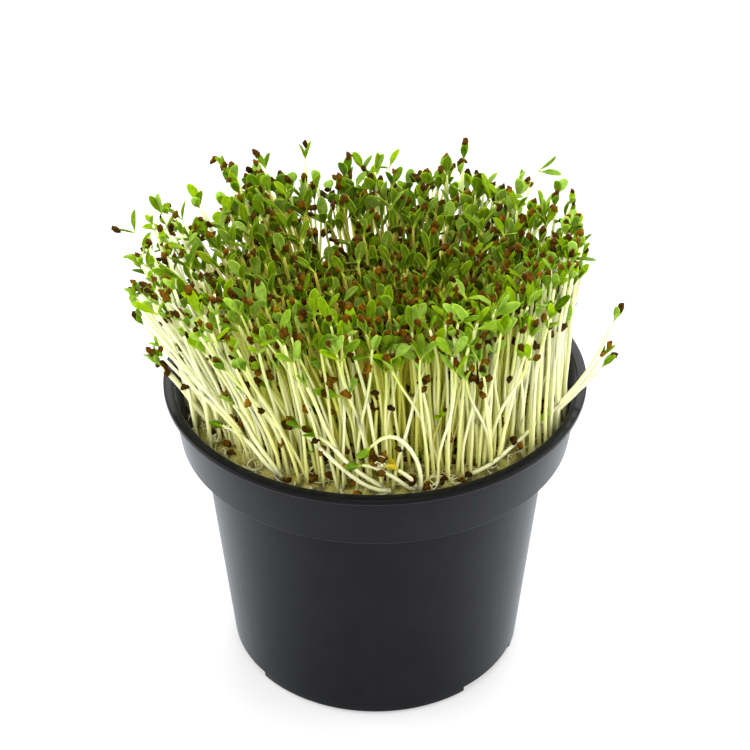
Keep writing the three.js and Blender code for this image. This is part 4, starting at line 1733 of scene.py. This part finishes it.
def seed_coats(stand):
    ball = ball_template(*COAT_ROWS)
    corners = corners_of(ball)
    husks = Husks(corners)
    cap_leaves(husks, stand)
    stick_to_stems(husks, stand)
    strew_among_leaves(husks, stand)
    clump_on_stems(husks, stand)
    strew_on_mat(husks)
    places = np.column_stack((corners[:, 0], (corners[:, 2] + 1) / 2, corners[:, 1]))
    for ring_name, shapes, growth in zip(RING_NAMES, husks.shapes, husks.growth):
        piece = repeated(
            "coats_" + ring_name, ball, shapes, coats_finish, "place_on_coat", places, growth
        )
        dress(piece, sprout_nodes(ring_name))


# ---------------------------------------------------------------- root hairs and crumbs


def lying_fibre(random, shares):
    """The middle line of a root hair that wanders over the mat."""
    radius = MAT_RADIUS * math.sqrt(random())
    turn = any_turn(random)
    heading = any_turn(random)
    curl = 3.2 * (random() - 0.5)
    length = 3.5 + 6 * random()
    rise = drawn(random, 0.2, 1.6, 3)
    x, y = on_circle(radius, turn)
    for share in shares:
        height = mat_height(min(math.hypot(x, y), 44)) + rise * math.sin(math.pi * share)
        yield x, y, height
        heading += curl * 0.35
        x += math.cos(heading) * length / ROOTLET_STATIONS
        y += math.sin(heading) * length / ROOTLET_STATIONS
        reach = math.hypot(x, y)
        if reach > FIBRE_REACH:
            x, y = x * FIBRE_REACH / reach, y * FIBRE_REACH / reach


def curled_fibre(random, centre, shares):
    """The middle line of a root hair that curls round a point in the air."""
    share = shares[:, None]
    way = any_way(random)
    side = unit(np.cross(way, any_way(random)))
    angle = (1.5 + 4.5 * random()) * (share + random())
    loop = side * np.cos(angle) + np.cross(way, side) * np.sin(angle)
    reach = way * (share - 0.5) * (1.5 + 3.5 * random())
    return np.array(centre) + reach + loop * (0.5 + 1.1 * random())


def apron_fibre(random, shares):
    """The middle line of a root hair on the slope between the mat and the wall."""
    radius = drawn(random, MAT_RADIUS, APRON_WIDTH)
    turn = any_turn(random)
    sweep = (random() - 0.5) * 0.2
    rise = drawn(random, 0.2, 1.2, 2)
    swing = 1.2 * (random() - 0.5)
    for share in shares:
        out = min(radius + swing * math.sin(7 * share + 6 * turn), APRON_REACH)
        height = np.interp(out, *APRON_SLOPE) + rise * math.sin(math.pi * share)
        yield *on_circle(out, turn + sweep * share), height


def rootlets():
    """Fine curly roots that lie on the mat and stick up from it."""
    tube = tube_template(ROOTLET_SIDES, ROOTLET_STATIONS)
    corners = corners_of(tube)
    random = make_random(ROOTLET_SEED)
    shares = np.linspace(0, 1, ROOTLET_STATIONS + 1)
    spines = [np.array(list(lying_fibre(random, shares))) for _ in range(FIBRES)]
    for centre, count in TANGLES:
        spines.extend(curled_fibre(random, centre, shares) for _ in range(count))
    spines.extend(np.array(list(apron_fibre(random, shares))) for _ in range(APRON_FIBRES))
    taper = np.interp(shares, *ROOTLET_TAPER)
    shapes, growth = [], []
    for number, spine in enumerate(spines):
        least = FIBRE_GIRTH if number < FIBRES else LOOSE_FIBRE_GIRTH
        girth = drawn(random, least, GIRTH_SPREAD)
        shapes.append(tube_shape(corners, spine, girth * taper))
        growth.append(any_look(random))
    places = np.column_stack((corners[:, 2], corners[:, 0], corners[:, 1]))
    piece = repeated("rootlets", tube, shapes, rootlets_finish, "place_on_root", places, growth)
    dress(piece, sprout_nodes())


def crumbs():
    """Loose crumbs of the medium in the gap between the mat and the wall."""
    ball = ball_template(*CRUMB_ROWS)
    corners = corners_of(ball)
    random = make_random(CRUMB_SEED)
    shapes, growth = [], []
    for _ in range(CRUMBS):
        turn = any_turn(random)
        radius = drawn(random, *CRUMB_RADII)
        size = CRUMB_SIZE * drawn(random, *CRUMB_SCALE)
        centre = np.array((*on_circle(radius, turn), MEDIUM_TOP - 0.2))
        look = any_look(random)
        shapes.append(coat_shape(corners, centre, any_way(random), any_way(random), size, look))
        growth.append(look)
    piece = repeated(
        "medium_crumbs", ball, shapes, growing_medium, "place_on_crumb", corners, growth
    )
    dress(piece, ["growing_medium"])


# ---------------------------------------------------------------- studio


def studio():
    bm = bmesh.new()
    bmesh.ops.create_grid(bm, x_segments=4, y_segments=4, size=FLOOR_SIZE)
    floor = new_object("studio_floor", mesh_from("studio_floor", bm), studio_floor)

    scene = bpy.context.scene
    world = bpy.data.worlds.new("studio")
    scene.world = world
    world.use_nodes = True
    sky = world.node_tree.nodes["Background"]
    sky.inputs["Color"].default_value = SKY_COLOUR
    sky.inputs["Strength"].default_value = SKY_STRENGTH

    for name, place, size, power in LIGHTS:
        light = bpy.data.lights.new(name, "AREA")
        light.shape = "SQUARE"
        light.size = size
        light.energy = power
        lamp = bpy.data.objects.new(name, light)
        lamp.location = place
        aim = Vector(LIGHTS_AIM) - lamp.location
        lamp.rotation_euler = aim.to_track_quat("-Z", "Y").to_euler()
        scene.collection.objects.link(lamp)

    scene.view_settings.view_transform = "Standard"
    scene.view_settings.look = "None"


def camera():
    """A long lens that looks down on the pot from the front, rolled by a hair."""
    elevation, roll = math.radians(CAMERA_ELEVATION), math.radians(CAMERA_ROLL)
    ahead = Vector((0, math.cos(elevation), -math.sin(elevation)))
    level = Vector((1, 0, 0))
    up = level.cross(ahead)
    right = level * math.cos(roll) + up * math.sin(roll)
    up = up * math.cos(roll) - level * math.sin(roll)
    lens = bpy.data.cameras.new("camera")
    lens.sensor_width = SENSOR_WIDTH
    lens.lens = FOCAL_LENGTH
    lens.clip_start = 0.01
    lens.clip_end = 20
    made = bpy.data.objects.new("camera", lens)
    turn = Matrix((right, up, -ahead)).transposed()
    place = Vector(CAMERA_TARGET) - ahead * CAMERA_DISTANCE
    made.matrix_world = Matrix.Translation(place) @ turn.to_4x4()
    bpy.context.scene.collection.objects.link(made)
    bpy.context.scene.camera = made


def grown_stand():
    """All sprouts, in the order in which they find room."""
    stand, kept = [], []
    grow_packed(stand, kept)
    grow_tall(stand, kept)
    grow_leading(stand, kept)
    first_finer = len(stand)
    grow_lying(stand, kept)
    grow_fill(stand, kept)
    grow_edge(stand, kept)
    thin_out(stand, first_finer)
    grow_by_wall(stand, kept)
    grow_late(stand, kept)
    give_looks(stand)
    return stand


stand = grown_stand()
camera()
studio()
pot()
medium()
mat()
for number, ring_name in enumerate(RING_NAMES):
    grown = [sprout for sprout in stand if sprout["ring"] == number]
    stems(grown, ring_name)
    leaves(grown, ring_name)
seed_coats(stand)
rootlets()
crumbs()
